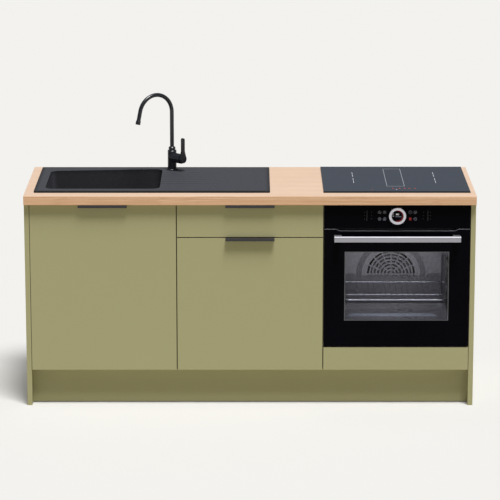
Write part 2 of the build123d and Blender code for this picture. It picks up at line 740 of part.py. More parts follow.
def sink():
    body = sink_deck()
    body += bowl_block(WORKTOP_TOP, BOWL_FLOOR - SINK_WALL, SINK_WALL)
    body -= bowl_block(SINK_TOP, BOWL_FLOOR, 0)
    for groove in drainer_grooves():
        body -= groove
    deck_base = WORKTOP_TOP - SINK_UNDERDECK_T
    tap_low = point(TAP_X, TAP_SETBACK, deck_base - OVERCUT)
    body -= rod(tap_low, point(TAP_X, TAP_SETBACK, SINK_TOP + OVERCUT), TAP_HOLE_R)
    floor_low = point(WASTE_X, WASTE_DEPTH, BOWL_FLOOR - SINK_WALL - OVERCUT)
    return body - rod(floor_low, point(WASTE_X, WASTE_DEPTH, BOWL_FLOOR + OVERCUT), WASTE_HOLE_R)


# Sink waste

def waste_place():
    return point(WASTE_X, WASTE_DEPTH, 0)


def waste_body():
    inner_r = WASTE_CUP_R - WASTE_WALL
    tail_bore = WASTE_TAIL_R - WASTE_WALL
    cup = (
        (WASTE_FLANGE_R, WASTE_TOP), (WASTE_FLANGE_R, BOWL_FLOOR), (WASTE_CUP_R, BOWL_FLOOR),
        (WASTE_CUP_R, WASTE_CUP_BASE), (WASTE_TAIL_R, WASTE_CUP_BASE), (WASTE_TAIL_R, WASTE_END),
        (tail_bore, WASTE_END), (tail_bore, WASTE_CUP_BASE + WASTE_WALL),
        (inner_r, WASTE_CUP_BASE + WASTE_WALL), (inner_r, WASTE_TOP),
    )
    nut_top = BOWL_FLOOR - SINK_WALL
    nut_base = nut_top - WASTE_NUT_T
    nut_r = WASTE_CUP_R + TAP_RUNNING_FIT
    nut = (
        (nut_r, nut_top), (nut_r + WASTE_NUT_WALL, nut_top),
        (nut_r + WASTE_NUT_WALL, nut_base), (nut_r, nut_base),
    )
    return group([turned(cup, waste_place()), turned(nut, waste_place())])


def strainer_basket():
    outer = WASTE_CUP_R - WASTE_WALL - WASTE_FIT
    rim_top = WASTE_TOP + BASKET_T
    floor = rim_top - BASKET_HEIGHT
    outline = (
        (0, floor), (outer - BASKET_TAPER, floor), (outer, WASTE_TOP), (BASKET_RIM_R, WASTE_TOP),
        (BASKET_RIM_R, rim_top), (outer - BASKET_T, rim_top),
        (outer - BASKET_T - BASKET_TAPER, floor + BASKET_T), (BASKET_KNOB_R / 2, floor + BASKET_T),
        (BASKET_KNOB_R / 2, floor + BASKET_KNOB_HEIGHT / 2), (BASKET_KNOB_R, floor + BASKET_KNOB_HEIGHT),
        (0, floor + BASKET_KNOB_HEIGHT),
    )
    basket = turned(outline, waste_place())
    for ring, radius in enumerate((BASKET_INNER_RING_R, BASKET_OUTER_RING_R)):
        for place in PolarLocations(radius, BASKET_HOLES * (ring + 1) // 2):
            hole = Cylinder(BASKET_HOLE_R, BASKET_HEIGHT)
            basket -= Location(waste_place() + Vector(0, 0, floor)) * place * hole
    return basket


def waste_trap():
    """Bottle trap: union nut, dip pipe, bottle and the outlet pipe, held to the back by its own nut."""
    nut_base = WASTE_END - TRAP_NUT_HEIGHT / 2
    pipe_base = nut_base - TRAP_DROP
    bottle_base = pipe_base - TRAP_BOTTLE_HEIGHT
    outlet_z = pipe_base - TRAP_OUTLET_BELOW
    bore = TRAP_PIPE_R - TRAP_PIPE_WALL
    tail_seat = WASTE_TAIL_R + TAP_RUNNING_FIT
    axis = point(WASTE_X, WASTE_DEPTH, 0)
    outlet_start = point(WASTE_X, WASTE_DEPTH, outlet_z)
    nut_start = outlet_start + Vector(0, TRAP_BOTTLE_R + TRAP_NECK_LENGTH, 0)
    outlet_end = point(WASTE_X, WASTE_DEPTH + TRAP_OUTLET_LENGTH, outlet_z)
    form = (
        (0, bottle_base), (TRAP_BOTTLE_R - TRAP_PIPE_WALL, bottle_base),
        (TRAP_BOTTLE_R, bottle_base + TRAP_PIPE_WALL), (TRAP_BOTTLE_R, pipe_base),
        (TRAP_PIPE_R, pipe_base + TRAP_PIPE_WALL), (TRAP_PIPE_R, nut_base), (TRAP_NUT_R, nut_base),
        (TRAP_NUT_R, nut_base + TRAP_NUT_HEIGHT), (tail_seat, nut_base + TRAP_NUT_HEIGHT),
        (tail_seat, WASTE_END), (bore, WASTE_END), (bore, outlet_z - TRAP_PIPE_R),
        (0, outlet_z - TRAP_PIPE_R),
    )
    outlet_nut = rod(nut_start, nut_start + Vector(0, TRAP_NUT_HEIGHT, 0), TRAP_NUT_R)
    outlet_nut = chamfer(outlet_nut.edges().group_by(Axis.Y)[-1], TRAP_NUT_TAPER)
    trap = turned(form, axis) + rod(outlet_start, nut_start, TRAP_NECK_R) + outlet_nut
    trap += rod(outlet_start, outlet_end, TRAP_PIPE_R)
    trap -= rod(Vector(axis.X, axis.Y, outlet_z - TRAP_PIPE_R), Vector(axis.X, axis.Y, pipe_base), bore)
    return trap - rod(outlet_start, outlet_end, bore)


# Mixer tap

def lever_way():
    """Level direction of the lever stub, forward to the right."""
    return Vector(cos(radians(LEVER_TURN)), -sin(radians(LEVER_TURN)), 0)


def lever_point(reach, height=0.0):
    return point(TAP_X, TAP_SETBACK, LEVER_Z + height) + lever_way() * reach


def tap_body():
    base = SINK_TOP + TAP_BASE_T
    outline = (
        (0, SINK_TOP), (TAP_BASE_R, SINK_TOP), (TAP_BASE_R, base - TAP_EDGE_R),
        (TAP_BASE_R - TAP_EDGE_R, base), (TAP_BODY_R, base), (TAP_BODY_R, TAP_TOP - TAP_EDGE_R),
        (TAP_BODY_R - TAP_EDGE_R, TAP_TOP), (0, TAP_TOP),
    )
    body = turned(outline, point(TAP_X, TAP_SETBACK, 0))
    body += rod(lever_point(0), lever_point(STUB_REACH), STUB_R)
    body += rod(lever_point(STUB_REACH), lever_point(STUB_REACH + STUB_PIN_LENGTH), STUB_PIN_R)
    socket_base = TAP_TOP - TAP_SPIGOT_HEIGHT - TAP_RUNNING_FIT
    socket = rod(
        point(TAP_X, TAP_SETBACK, socket_base), point(TAP_X, TAP_SETBACK, TAP_TOP),
        TAP_SPIGOT_R + TAP_RUNNING_FIT,
    )
    return body - socket


def tap_mount():
    """Threaded shank with its two inlets, and the washer and nut that clamp it to the sink."""
    deck_base = WORKTOP_TOP - SINK_UNDERDECK_T
    end = SINK_TOP - TAP_SHANK_LENGTH
    washer_base = deck_base - TAP_WASHER_T
    nut_base = washer_base - TAP_NUT_T
    bore = TAP_SHANK_R + TAP_RUNNING_FIT
    shank = rod(point(TAP_X, TAP_SETBACK, end), point(TAP_X, TAP_SETBACK, SINK_TOP), TAP_SHANK_R)
    for side in (-1, 1):
        depth = TAP_SETBACK + side * TAP_INLET_SPREAD / 2
        shank -= rod(point(TAP_X, depth, end), point(TAP_X, depth, end + TAP_INLET_LENGTH), TAP_INLET_R)
    through = rod(point(TAP_X, TAP_SETBACK, end), point(TAP_X, TAP_SETBACK, SINK_TOP), bore)
    washer = rod(
        point(TAP_X, TAP_SETBACK, washer_base), point(TAP_X, TAP_SETBACK, deck_base), TAP_WASHER_R
    )
    nut_face = Location(point(TAP_X, TAP_SETBACK, nut_base)) * RegularPolygon(TAP_NUT_R, 6)
    nut = extrude(nut_face, amount=TAP_NUT_T)
    return group([shank, washer - through, nut - through])


def tap_spout():
    """Swan neck: spigot, collar, straight rise, arch and the short fall to the aerator."""
    way = Vector(-cos(radians(SPOUT_TURN)), -sin(radians(SPOUT_TURN)), 0)
    sheet = Plane(origin=point(TAP_X, TAP_SETBACK, 0), x_dir=way, z_dir=way.cross(Vector(0, 0, 1)))
    start = TAP_TOP + TAP_COLLAR_HEIGHT
    rise = Line((0, start), (0, start + SPOUT_STRAIGHT_LENGTH))
    arch = JernArc(rise @ 1, rise % 1, SPOUT_ARCH_R, -SPOUT_ARCH_ANGLE)
    fall = Line(arch @ 1, (arch @ 1) + (arch % 1) * SPOUT_END_LENGTH)
    path = sheet * (rise + arch + fall)
    foot = Location(point(TAP_X, TAP_SETBACK, start))
    tube = sweep(foot * (Circle(SPOUT_R) - Circle(SPOUT_BORE_R)), path=path)
    end = sheet.from_local_coords(fall @ 1)
    drop = (end - sheet.from_local_coords(fall @ 0)).normalized()
    tip = end + drop * AERATOR_LENGTH
    root = point(TAP_X, TAP_SETBACK, TAP_TOP - TAP_SPIGOT_HEIGHT)
    seat = point(TAP_X, TAP_SETBACK, TAP_TOP)
    collar_top = point(TAP_X, TAP_SETBACK, start)
    collar = rod(seat, collar_top, TAP_COLLAR_R)
    collar = chamfer(collar.edges().group_by(Axis.Z)[-1], 2 * TAP_EDGE_R)
    spout = tube + collar + rod(root, seat, TAP_SPIGOT_R)
    spout -= rod(root, collar_top, SPOUT_BORE_R)
    return spout + (rod(end, tip, AERATOR_R) - rod(end, tip, SPOUT_BORE_R))


def lever_cap():
    """Cap that turns on the stub for hot and cold, with the groove of the lever's knuckle."""
    cap = rod(lever_point(CAP_START), lever_point(CAP_END), STUB_R)
    pin_end = lever_point(STUB_REACH + STUB_PIN_LENGTH)
    cap -= rod(lever_point(CAP_START), pin_end, STUB_PIN_R + TAP_RUNNING_FIT)
    return cap - knuckle(LEVER_KNUCKLE_R + TAP_RUNNING_FIT, 2 * STUB_R)


def knuckle(radius, length):
    """Bar along the axis that the lever tilts about."""
    across = lever_way().cross(Vector(0, 0, 1)) * (length / 2)
    centre = lever_point(KNUCKLE_REACH, -LEVER_KNUCKLE_DROP)
    return rod(centre - across, centre + across, radius)


def tap_lever():
    """Round foot drawn up into a flat tapering blade."""
    across = lever_way().cross(Vector(0, 0, -1))
    sheet = Plane(origin=lever_point(LEVER_START), x_dir=across, z_dir=lever_way())
    half = LEVER_TIP_WIDTH / 2
    foot = Circle(LEVER_DISC_R)
    blade = make_face(Polyline(
        (-LEVER_DISC_R, 0), (LEVER_DISC_R, 0), (half, LEVER_DISC_R * 2), (half, LEVER_LENGTH - half),
        (-half, LEVER_LENGTH - half), (-half, LEVER_DISC_R * 2), close=True,
    ))
    outline = foot + blade + Pos(0, LEVER_LENGTH - half) * Circle(half)
    lever = extrude(sheet * outline, amount=LEVER_T, dir=lever_way())
    return lever + knuckle(LEVER_KNUCKLE_R, LEVER_KNUCKLE_LENGTH)


# Hob

def hob_glass():
    place = Location(hob_centre() + Vector(0, 0, HOB_LEDGE_T))
    face = place * RectangleRounded(HOB_WIDTH, HOB_DEPTH, HOB_EDGE_R)
    glass = extrude(face, amount=HOB_GLASS_T)
    return fillet(glass.edges().group_by(Axis.Z)[-1], HOB_EDGE_R)


def hob_casing():
    """Sheet tray in the cut-out, hung from a ledge that lies between worktop and glass."""
    centre = hob_centre()
    outline = RectangleRounded(HOB_CASING_WIDTH, HOB_CASING_DEPTH, CUTOUT_CORNER_R)
    ledge_size = 2 * (HOB_LEDGE + HOB_CUTOUT_FIT)
    ledge = RectangleRounded(HOB_CASING_WIDTH + ledge_size, HOB_CASING_DEPTH + ledge_size, CUTOUT_CORNER_R)
    sheet = 2 * HOB_SHEET
    inner_r = CUTOUT_CORNER_R - HOB_SHEET
    inside = RectangleRounded(HOB_CASING_WIDTH - sheet, HOB_CASING_DEPTH - sheet, inner_r)
    casing = extrude(outline, amount=-HOB_CASING_HEIGHT) + extrude(ledge, amount=HOB_LEDGE_T)
    hollow = Pos(0, 0, HOB_SHEET - HOB_CASING_HEIGHT) * extrude(inside, amount=HOB_CASING_HEIGHT)
    return Location(centre) * (casing - hollow)


# Oven body

def oven_span(width):
    return (OVEN_X - width / 2, OVEN_X + width / 2)


def vent_slots(z):
    """Row of upright slots through the back cover."""
    slots = []
    for i in range(VENT_SLOT_COUNT):
        x = OVEN_X + (i - (VENT_SLOT_COUNT - 1) / 2) * VENT_SLOT_PITCH
        slot_x = (x - VENT_SLOT_WIDTH / 2, x + VENT_SLOT_WIDTH / 2)
        depth = (OVEN_BODY_BACK - 2 * OVEN_SHEET, OVEN_BODY_BACK + OVEN_SHEET)
        slots.append(block(slot_x, depth, (z - VENT_SLOT_LENGTH / 2, z + VENT_SLOT_LENGTH / 2)))
    return slots


def oven_covers():
    """Sheet covers of the oven: base, top, two sides and the back with its vents."""
    full = oven_span(OVEN_BODY_WIDTH)
    depth = (OVEN_INSIDE, OVEN_BODY_BACK)
    wall = (OVEN_BASE + OVEN_SHEET, OVEN_TOP - OVEN_SHEET)
    inner = oven_span(OVEN_BODY_WIDTH - 2 * OVEN_SHEET)
    back = block(inner, (OVEN_BODY_BACK - OVEN_SHEET, OVEN_BODY_BACK), wall)
    for slot in vent_slots(OVEN_TOP - VENT_FROM_TOP) + vent_slots(FAN_Z):
        back -= slot
    return group([
        block(full, depth, (OVEN_BASE, wall[0])),
        block(full, depth, (wall[1], OVEN_TOP)),
        block((full[0], inner[0]), depth, wall),
        block((inner[1], full[1]), depth, wall),
        back,
    ])


def oven_face_frame():
    """Face plate that carries the cavity, the seal and the door hinges."""
    middle = (OVEN_BASE + OVEN_TOP) / 2
    centre = point(OVEN_X, OVEN_FACE, middle)
    frame = plate(OVEN_BODY_WIDTH, OVEN_BODY_HEIGHT, OVEN_SHEET, OVEN_FACE_T, centre)
    return frame - cavity_plug(OVEN_FACE - OVERCUT, OVEN_INSIDE + OVERCUT, 0)


def cavity_plug(front, back, grow):
    """Rounded block of the cavity between two depths."""
    centre = point(OVEN_X, front, (CAVITY_BASE + CAVITY_TOP) / 2)
    size = 2 * grow
    return plate(CAVITY_WIDTH + size, CAVITY_HEIGHT + size, CAVITY_CORNER_R + grow, back - front, centre)


def oven_cavity():
    box = cavity_plug(OVEN_INSIDE, CAVITY_BACK + CAVITY_WALL, CAVITY_WALL)
    box -= cavity_plug(OVEN_INSIDE, CAVITY_BACK, 0)
    wall = (CAVITY_BACK - OVERCUT, CAVITY_BACK + CAVITY_WALL + OVERCUT)
    return box - rod(point(OVEN_X, wall[0], FAN_Z), point(OVEN_X, wall[1], FAN_Z), 2 * FAN_SHAFT_R)


def door_seal():
    front = DOOR_BACK + SEAL_GAP
    ring = cavity_plug(front, OVEN_FACE, SEAL_INSET + SEAL_WIDTH)
    return ring - cavity_plug(front, OVEN_FACE, SEAL_INSET)


def hinge_bracket(x):
    """Arm on the face plate with the eye that the door's pin turns in."""
    half = HINGE_ARM_T / 2
    axis = (point(x - half, HINGE_DEPTH, HINGE_Z), point(x + half, HINGE_DEPTH, HINGE_Z))
    height = (HINGE_Z - HINGE_ARM_HALF, HINGE_Z + HINGE_ARM_HALF)
    arm = rod(*axis, HINGE_EYE_R) + block((x - half, x + half), (HINGE_DEPTH, OVEN_FACE), height)
    return arm - rod(*axis, HINGE_PIN_R + HINGE_FIT)


def oven_hinge_brackets():
    return group([hinge_bracket(OVEN_X - HINGE_SIDE), hinge_bracket(OVEN_X + HINGE_SIDE)])


# Oven fan and elements

def fan_baffle():
    """Pan over the fan: a raised ring round concentric slots that spokes divide."""
    front = CAVITY_BACK - BAFFLE_DEPTH
    centre = point(OVEN_X, front, FAN_Z)
    sheet = Plane(origin=centre, x_dir=(1, 0, 0), z_dir=(0, 1, 0))
    pan = plate(BAFFLE_WIDTH, BAFFLE_HEIGHT, BAFFLE_CORNER_R, BAFFLE_DEPTH, centre)
    inside = point(OVEN_X, front + CAVITY_WALL, FAN_Z)
    edge = 2 * CAVITY_WALL
    pan -= plate(
        BAFFLE_WIDTH - edge, BAFFLE_HEIGHT - edge, BAFFLE_CORNER_R - CAVITY_WALL, BAFFLE_DEPTH, inside
    )
    ring = Circle(BAFFLE_RING_R + BAFFLE_RING_WIDTH) - Circle(BAFFLE_RING_R)
    pan += extrude(sheet * ring, amount=-BAFFLE_RING_RAISE)
    slots = Sketch()
    for i in range(GRILLE_RINGS):
        slots += grille_ring(i)
    return pan - extrude(sheet * slots, amount=CAVITY_WALL)


def grille_ring(i):
    """One ring of slots. The spokes double at the second and at the fourth ring."""
    radius = GRILLE_FIRST_R + i * GRILLE_PITCH
    ring = Circle(radius + GRILLE_SLOT / 2) - Circle(radius - GRILLE_SLOT / 2)
    doublings = (i + 1).bit_length() - 1
    for place in PolarLocations(radius, GRILLE_FIRST_SPOKES * 2 ** doublings):
        ring -= place * Rectangle(2 * GRILLE_SLOT, GRILLE_SPOKE_WIDTH)
    return ring


def oven_fan():
    """Radial impeller on the motor shaft."""
    back = CAVITY_BACK - FAN_WALL_GAP
    disc_front = back - FAN_DISC_T
    blade_front = disc_front - FAN_BLADE_WIDTH
    disc = rod(point(OVEN_X, disc_front, FAN_Z), point(OVEN_X, back, FAN_Z), FAN_R)
    disc += rod(point(OVEN_X, blade_front, FAN_Z), point(OVEN_X, disc_front, FAN_Z), FAN_HUB_R)
    sheet = Plane(origin=point(OVEN_X, disc_front, FAN_Z), x_dir=(1, 0, 0), z_dir=(0, -1, 0))
    blades = Sketch()
    for place in PolarLocations(FAN_R - FAN_BLADE_LENGTH / 2, FAN_BLADES):
        blades += place * Rectangle(FAN_BLADE_LENGTH, FAN_DISC_T, rotation=FAN_BLADE_ANGLE)
    disc += extrude(sheet * blades, amount=FAN_BLADE_WIDTH)
    shaft_end = CAVITY_BACK + CAVITY_WALL + MOTOR_LENGTH / 2
    return disc + rod(point(OVEN_X, back, FAN_Z), point(OVEN_X, shaft_end, FAN_Z), FAN_SHAFT_R)


def fan_motor():
    front = CAVITY_BACK + CAVITY_WALL
    back = front + MOTOR_LENGTH
    motor = plate(MOTOR_PLATE, MOTOR_PLATE, CAVITY_WALL, MOTOR_PLATE_T, point(OVEN_X, front, FAN_Z))
    motor += rod(point(OVEN_X, front, FAN_Z), point(OVEN_X, back, FAN_Z), MOTOR_R)
    bore_end = point(OVEN_X, front + MOTOR_LENGTH / 2 + OVERCUT, FAN_Z)
    bore = rod(point(OVEN_X, front - OVERCUT, FAN_Z), bore_end, FAN_SHAFT_R + FAN_FIT)
    return motor - bore


def ring_element():
    """Heating ring round the fan, with its two tails into the back wall."""
    depth = CAVITY_BACK - BAFFLE_DEPTH / 2
    place = Plane(origin=point(OVEN_X, depth, FAN_Z), x_dir=(1, 0, 0), z_dir=(0, 1, 0))
    ring = place * Torus(RING_ELEMENT_R, ELEMENT_R)
    for side in (-1, 1):
        x = OVEN_X + side * ELEMENT_TAIL_SIDE
        z = FAN_Z - (RING_ELEMENT_R ** 2 - ELEMENT_TAIL_SIDE ** 2) ** 0.5
        ring += rod(point(x, depth, z), point(x, CAVITY_BACK, z), ELEMENT_TAIL_R)
    return ring


def grill_element():
    """Serpentine under the roof, entering at the back wall."""
    z = CAVITY_TOP - GRILL_BELOW_ROOF
    reach = CAVITY_BACK - GRILL_REACH
    turn = CAVITY_BACK - 2 * GRILL_BEND_R
    corners = []
    for leg in range(GRILL_LEGS):
        x = OVEN_X + (leg - (GRILL_LEGS - 1) / 2) * GRILL_LEG_PITCH
        ends = [turn, reach] if leg % 2 == 0 else [reach, turn]
        corners += [point(x, depth, z) for depth in ends]
    corners[0] = Vector(corners[0].X, FRONT_Y + CAVITY_BACK, z)
    corners[-1] = Vector(corners[-1].X, FRONT_Y + CAVITY_BACK, z)
    path = FilletPolyline(*corners, radius=GRILL_BEND_R)
    start = Plane(origin=path @ 0, z_dir=path % 0)
    return sweep(start * Circle(ELEMENT_R), path=path)


def heating_elements():
    return group([ring_element(), grill_element()])


def oven_lamp():
    """Glass dome on the back wall beside the roof."""
    centre = point(OVEN_X + LAMP_SIDE, CAVITY_BACK, CAVITY_TOP - LAMP_BELOW_ROOF)
    dome = rod(centre - Vector(0, LAMP_PROUD, 0), centre, LAMP_R)
    return fillet(dome.edges().group_by(Axis.Y)[0], LAMP_PROUD / 2)


# Oven furniture

def level_z(level):
    """Height of the lower wire of a shelf level."""
    return CAVITY_BASE + LADDER_FIRST + level * LADDER_PITCH


def ladder(side):
    """Side grid of paired wires on two posts, hung on studs in the cavity wall."""
    wall = OVEN_X + side * CAVITY_WIDTH / 2
    x = wall - side * LADDER_WALL_GAP
    front = OVEN_INSIDE + LADDER_FRONT
    back = CAVITY_BACK - BAFFLE_DEPTH - LADDER_BACK
    top = level_z(LADDER_LEVELS - 1) + 2 * LADDER_SLOT
    base = level_z(0) - 2 * LADDER_SLOT
    frame = None
    for depth in (front + LADDER_POST_INSET, back - LADDER_POST_INSET):
        post = rod(point(x, depth, base), point(x, depth, top), LADDER_WIRE_R)
        for z in (base + LADDER_STUD_INSET, top - LADDER_STUD_INSET):
            post += rod(point(x - side * LADDER_STUD_R, depth, z), point(wall, depth, z), LADDER_STUD_R)
        frame = post if frame is None else frame + post
    wire_x = x - side * LADDER_WIRE_OFFSET
    for level in range(LADDER_LEVELS):
        for z in (level_z(level), level_z(level) + LADDER_SLOT):
            frame += rod(point(wire_x, front, z), point(wire_x, back, z), LADDER_WIRE_R)
    return frame


def shelf_ladders():
    return group([ladder(-1), ladder(1)])


def shelf_half_width():
    """Half width of what slides between the ladder posts."""
    return CAVITY_WIDTH / 2 - LADDER_WALL_GAP - LADDER_WIRE_R - SHELF_PLAY


def shelf_depths():
    return (OVEN_INSIDE + LADDER_FRONT, CAVITY_BACK - BAFFLE_DEPTH - LADDER_BACK)


def wire_rack():
    """Round frame and a second bar near the front, which carry thin wires from front to back."""
    half = shelf_half_width() - RACK_FRAME_R
    front, ladder_back = shelf_depths()
    back = ladder_back - RACK_BACK_SPACE
    wire_half = CAVITY_WIDTH / 2 - LADDER_WALL_GAP - LADDER_WIRE_OFFSET
    reach = LADDER_WIRE_R + RACK_FRAME_R + RACK_SEAT
    z = level_z(RACK_LEVEL) + (reach ** 2 - (wire_half - half) ** 2) ** 0.5
    rack = rack_half(-half, front, back, z) + rack_half(half, front, back, z)
    bar_depth = front + RACK_BAR_SETBACK
    rack += rod(point(OVEN_X - half, bar_depth, z), point(OVEN_X + half, bar_depth, z), RACK_BAR_R)
    lift = z + RACK_FRAME_R - RACK_WIRE_R / 2
    pairs = int((half - RACK_FRAME_R) / RACK_WIRE_PITCH)
    for i in range(2 * pairs):
        x = OVEN_X + (i - pairs + 0.5) * RACK_WIRE_PITCH
        rack += rod(point(x, front, lift), point(x, back, lift), RACK_WIRE_R)
    return rack


def rack_half(reach, front, back, z):
    """Half of the rack's frame, bent round the two corners of one side."""
    side = OVEN_X + reach
    path = FilletPolyline(
        point(OVEN_X, front, z), point(side, front, z), point(side, back, z), point(OVEN_X, back, z),
        radius=RACK_BEND_R,
    )
    start = Plane(origin=path @ 0, z_dir=path % 0)
    return sweep(start * Circle(RACK_FRAME_R), path=path)


def baking_tray():
    """Shallow enamelled pan that hangs on the ladder wires by its rim."""
    front, back = shelf_depths()
    width = 2 * shelf_half_width()
    length = back - front
    z = level_z(TRAY_LEVEL) + LADDER_WIRE_R + RACK_SEAT
    centre = Location(point(OVEN_X, (front + back) / 2, z))
    rim = extrude(RectangleRounded(width, length, TRAY_CORNER_R + TRAY_RIM), amount=TRAY_SHEET)
    mouth = 2 * TRAY_RIM
    return centre * (rim + tray_form(width - mouth, length - mouth, 0) - tray_form(
        width - mouth - 2 * TRAY_SHEET, length - mouth - 2 * TRAY_SHEET, TRAY_SHEET
    ))


def tray_form(width, length, lift):
    """Tapered block of the pan, from above its rim down to its floor."""
    floor = lift - TRAY_HEIGHT
    taper = 2 * TRAY_DRAFT * TRAY_HEIGHT
    top = Pos(0, 0, lift) * RectangleRounded(width, length, TRAY_CORNER_R)
    base = Pos(0, 0, floor) * RectangleRounded(width - taper, length - taper, TRAY_CORNER_R)
    return loft([base, top], ruled=True)


# Oven control panel

def control_panel():
    """Glass fascia and the hollow housing that joins it to the face plate."""
    glass = plate(
        OVEN_FRONT_WIDTH, CONTROL_HEIGHT, HOB_EDGE_R, CONTROL_GLASS_T,
        point(OVEN_X, 0, (CONTROL_BASE + CONTROL_TOP) / 2),
    )
    base = CONTROL_BASE + HOB_EDGE_R
    wall = CONTROL_HOUSING_WALL
    housing = block(
        oven_span(CONTROL_HOUSING_WIDTH), (CONTROL_GLASS_T, OVEN_FACE), (base, base + CONTROL_HOUSING_HEIGHT)
    )
    housing -= block(
        oven_span(CONTROL_HOUSING_WIDTH - 2 * wall), (CONTROL_GLASS_T + wall, OVEN_FACE - wall),
        (base + wall, base + CONTROL_HOUSING_HEIGHT - wall),
    )
    return group([glass, housing])


def control_display():
    """Round display that stands proud of the fascia inside the ring."""
    disc = rod(point(OVEN_X, -DISPLAY_PROUD, RING_Z), point(OVEN_X, 0, RING_Z), RING_INNER_R - DISPLAY_FIT)
    return fillet(disc.edges().group_by(Axis.Y)[0], RING_EDGE_R / 2)


def control_ring():
    """Setting ring that turns round the display."""
    front = point(OVEN_X, -RING_PROUD, RING_Z)
    back = point(OVEN_X, -RING_GAP, RING_Z)
    ring = rod(front, back, RING_R)
    ring = fillet(ring.edges().group_by(Axis.Y)[0], RING_EDGE_R)
    return ring - rod(front, back, RING_INNER_R)


# Oven door

def door_edge(height, drop):
    """Top edge of the door as points: level ends and a long vent recess with sloped ends."""
    half = OVEN_FRONT_WIDTH / 2
    low = DOOR_VENT_WIDTH / 2
    high = low + DOOR_VENT_SLOPE
    return [
        (-half, height), (-high, height), (-low, height - drop),
        (low, height - drop), (high, height), (half, height),
    ]


def door_sheet(outline, front, back):
    """Upright sheet of the door from an outline across and up."""
    sheet = Plane(origin=point(OVEN_X, front, 0), x_dir=(1, 0, 0), z_dir=(0, -1, 0))
    return extrude(sheet * make_face(Polyline(*outline, close=True)), amount=front - back)


def door_outer_glass():
    half = OVEN_FRONT_WIDTH / 2
    edge = door_edge(DOOR_TOP - DOOR_TRIM_T, DOOR_VENT_DROP)
    return door_sheet([(half, DOOR_BASE), (-half, DOOR_BASE)] + edge, 0, DOOR_GLASS_T)


def door_top_trim():
    """Thin metal strip that follows the top edge of the glass."""
    upper = door_edge(DOOR_TOP, DOOR_VENT_DROP)
    lower = door_edge(DOOR_TOP - DOOR_TRIM_T, DOOR_VENT_DROP)
    return door_sheet(upper + lower[::-1], 0, DOOR_FRAME_BACK)


def door_frame():
    """Mask round the window, the rails behind it and the pins that the door turns on."""
    outer = oven_span(OVEN_FRONT_WIDTH - 2 * DOOR_FRAME_INSET)
    base = DOOR_BASE + DOOR_FRAME_INSET / 2
    mask_back = DOOR_GLASS_T + DOOR_MASK_T
    frame = block(outer, (DOOR_GLASS_T, DOOR_FRAME_BACK), (base, DOOR_FRAME_TOP))
    frame -= block(
        (outer[0] + DOOR_FRAME_RAIL, outer[1] - DOOR_FRAME_RAIL), (mask_back, DOOR_FRAME_BACK),
        (base + DOOR_FRAME_RAIL, DOOR_FRAME_TOP - DOOR_FRAME_RAIL),
    )
    pack = oven_span(DOOR_PACK_WIDTH)
    pack_ring = block(pack, (DOOR_FRAME_BACK, DOOR_PACK_BACK), (DOOR_PACK_BASE, DOOR_PACK_TOP))
    pack_ring -= block(
        (pack[0] + DOOR_PACK_RAIL, pack[1] - DOOR_PACK_RAIL), (DOOR_FRAME_BACK, DOOR_PACK_BACK),
        (DOOR_PACK_BASE + DOOR_PACK_RAIL, DOOR_PACK_TOP - DOOR_PACK_RAIL),
    )
    window_centre = point(OVEN_X, DOOR_GLASS_T - OVERCUT, WINDOW_TOP - WINDOW_HEIGHT / 2)
    frame -= plate(WINDOW_WIDTH, WINDOW_HEIGHT, WINDOW_CORNER_R, DOOR_MASK_T + 2 * OVERCUT, window_centre)
    frame += pack_ring
    slot_half = HINGE_ARM_T / 2 + HINGE_SLOT_FIT
    slot_top = HINGE_Z + HINGE_EYE_R + HINGE_SLOT_FIT
    for x in (OVEN_X - HINGE_SIDE, OVEN_X + HINGE_SIDE):
        slot_x = (x - slot_half, x + slot_half)
        frame -= block(slot_x, (DOOR_GLASS_T, DOOR_BACK), (DOOR_BASE, slot_top))
        frame += rod(
            point(x - slot_half, HINGE_DEPTH, HINGE_Z), point(x + slot_half, HINGE_DEPTH, HINGE_Z), HINGE_PIN_R
        )
    return frame


def door_inner_glass():
    inset = 2 * DOOR_INNER_GLASS_INSET
    middle = (DOOR_PACK_BASE + DOOR_PACK_TOP) / 2
    return plate(
        DOOR_PACK_WIDTH - inset, DOOR_PACK_TOP - DOOR_PACK_BASE - inset, WINDOW_CORNER_R,
        DOOR_INNER_GLASS_T, point(OVEN_X, DOOR_PACK_BACK, middle),
    )


def oven_handle():
    """Flat bar with rounded edges on two posts."""
    half_height = HANDLE_BAR_HEIGHT / 2
    bar = block(
        oven_span(HANDLE_LENGTH), (-HANDLE_REACH, HANDLE_BAR_T - HANDLE_REACH),
        (HANDLE_Z - half_height, HANDLE_Z + half_height),
    )
    bar = fillet(bar.edges().filter_by(Axis.X), HANDLE_EDGE_R)
    post_z = (HANDLE_Z - HANDLE_POST_HEIGHT / 2, HANDLE_Z + HANDLE_POST_HEIGHT / 2)
    for side in (-1, 1):
        outer = OVEN_X + side * HANDLE_LENGTH / 2
        post_x = sorted((outer, outer - side * HANDLE_POST_WIDTH))
        bar += block(post_x, (HANDLE_BAR_T / 2 - HANDLE_REACH, 0), post_z)
    return bar


# Fronts, pulls and hinges

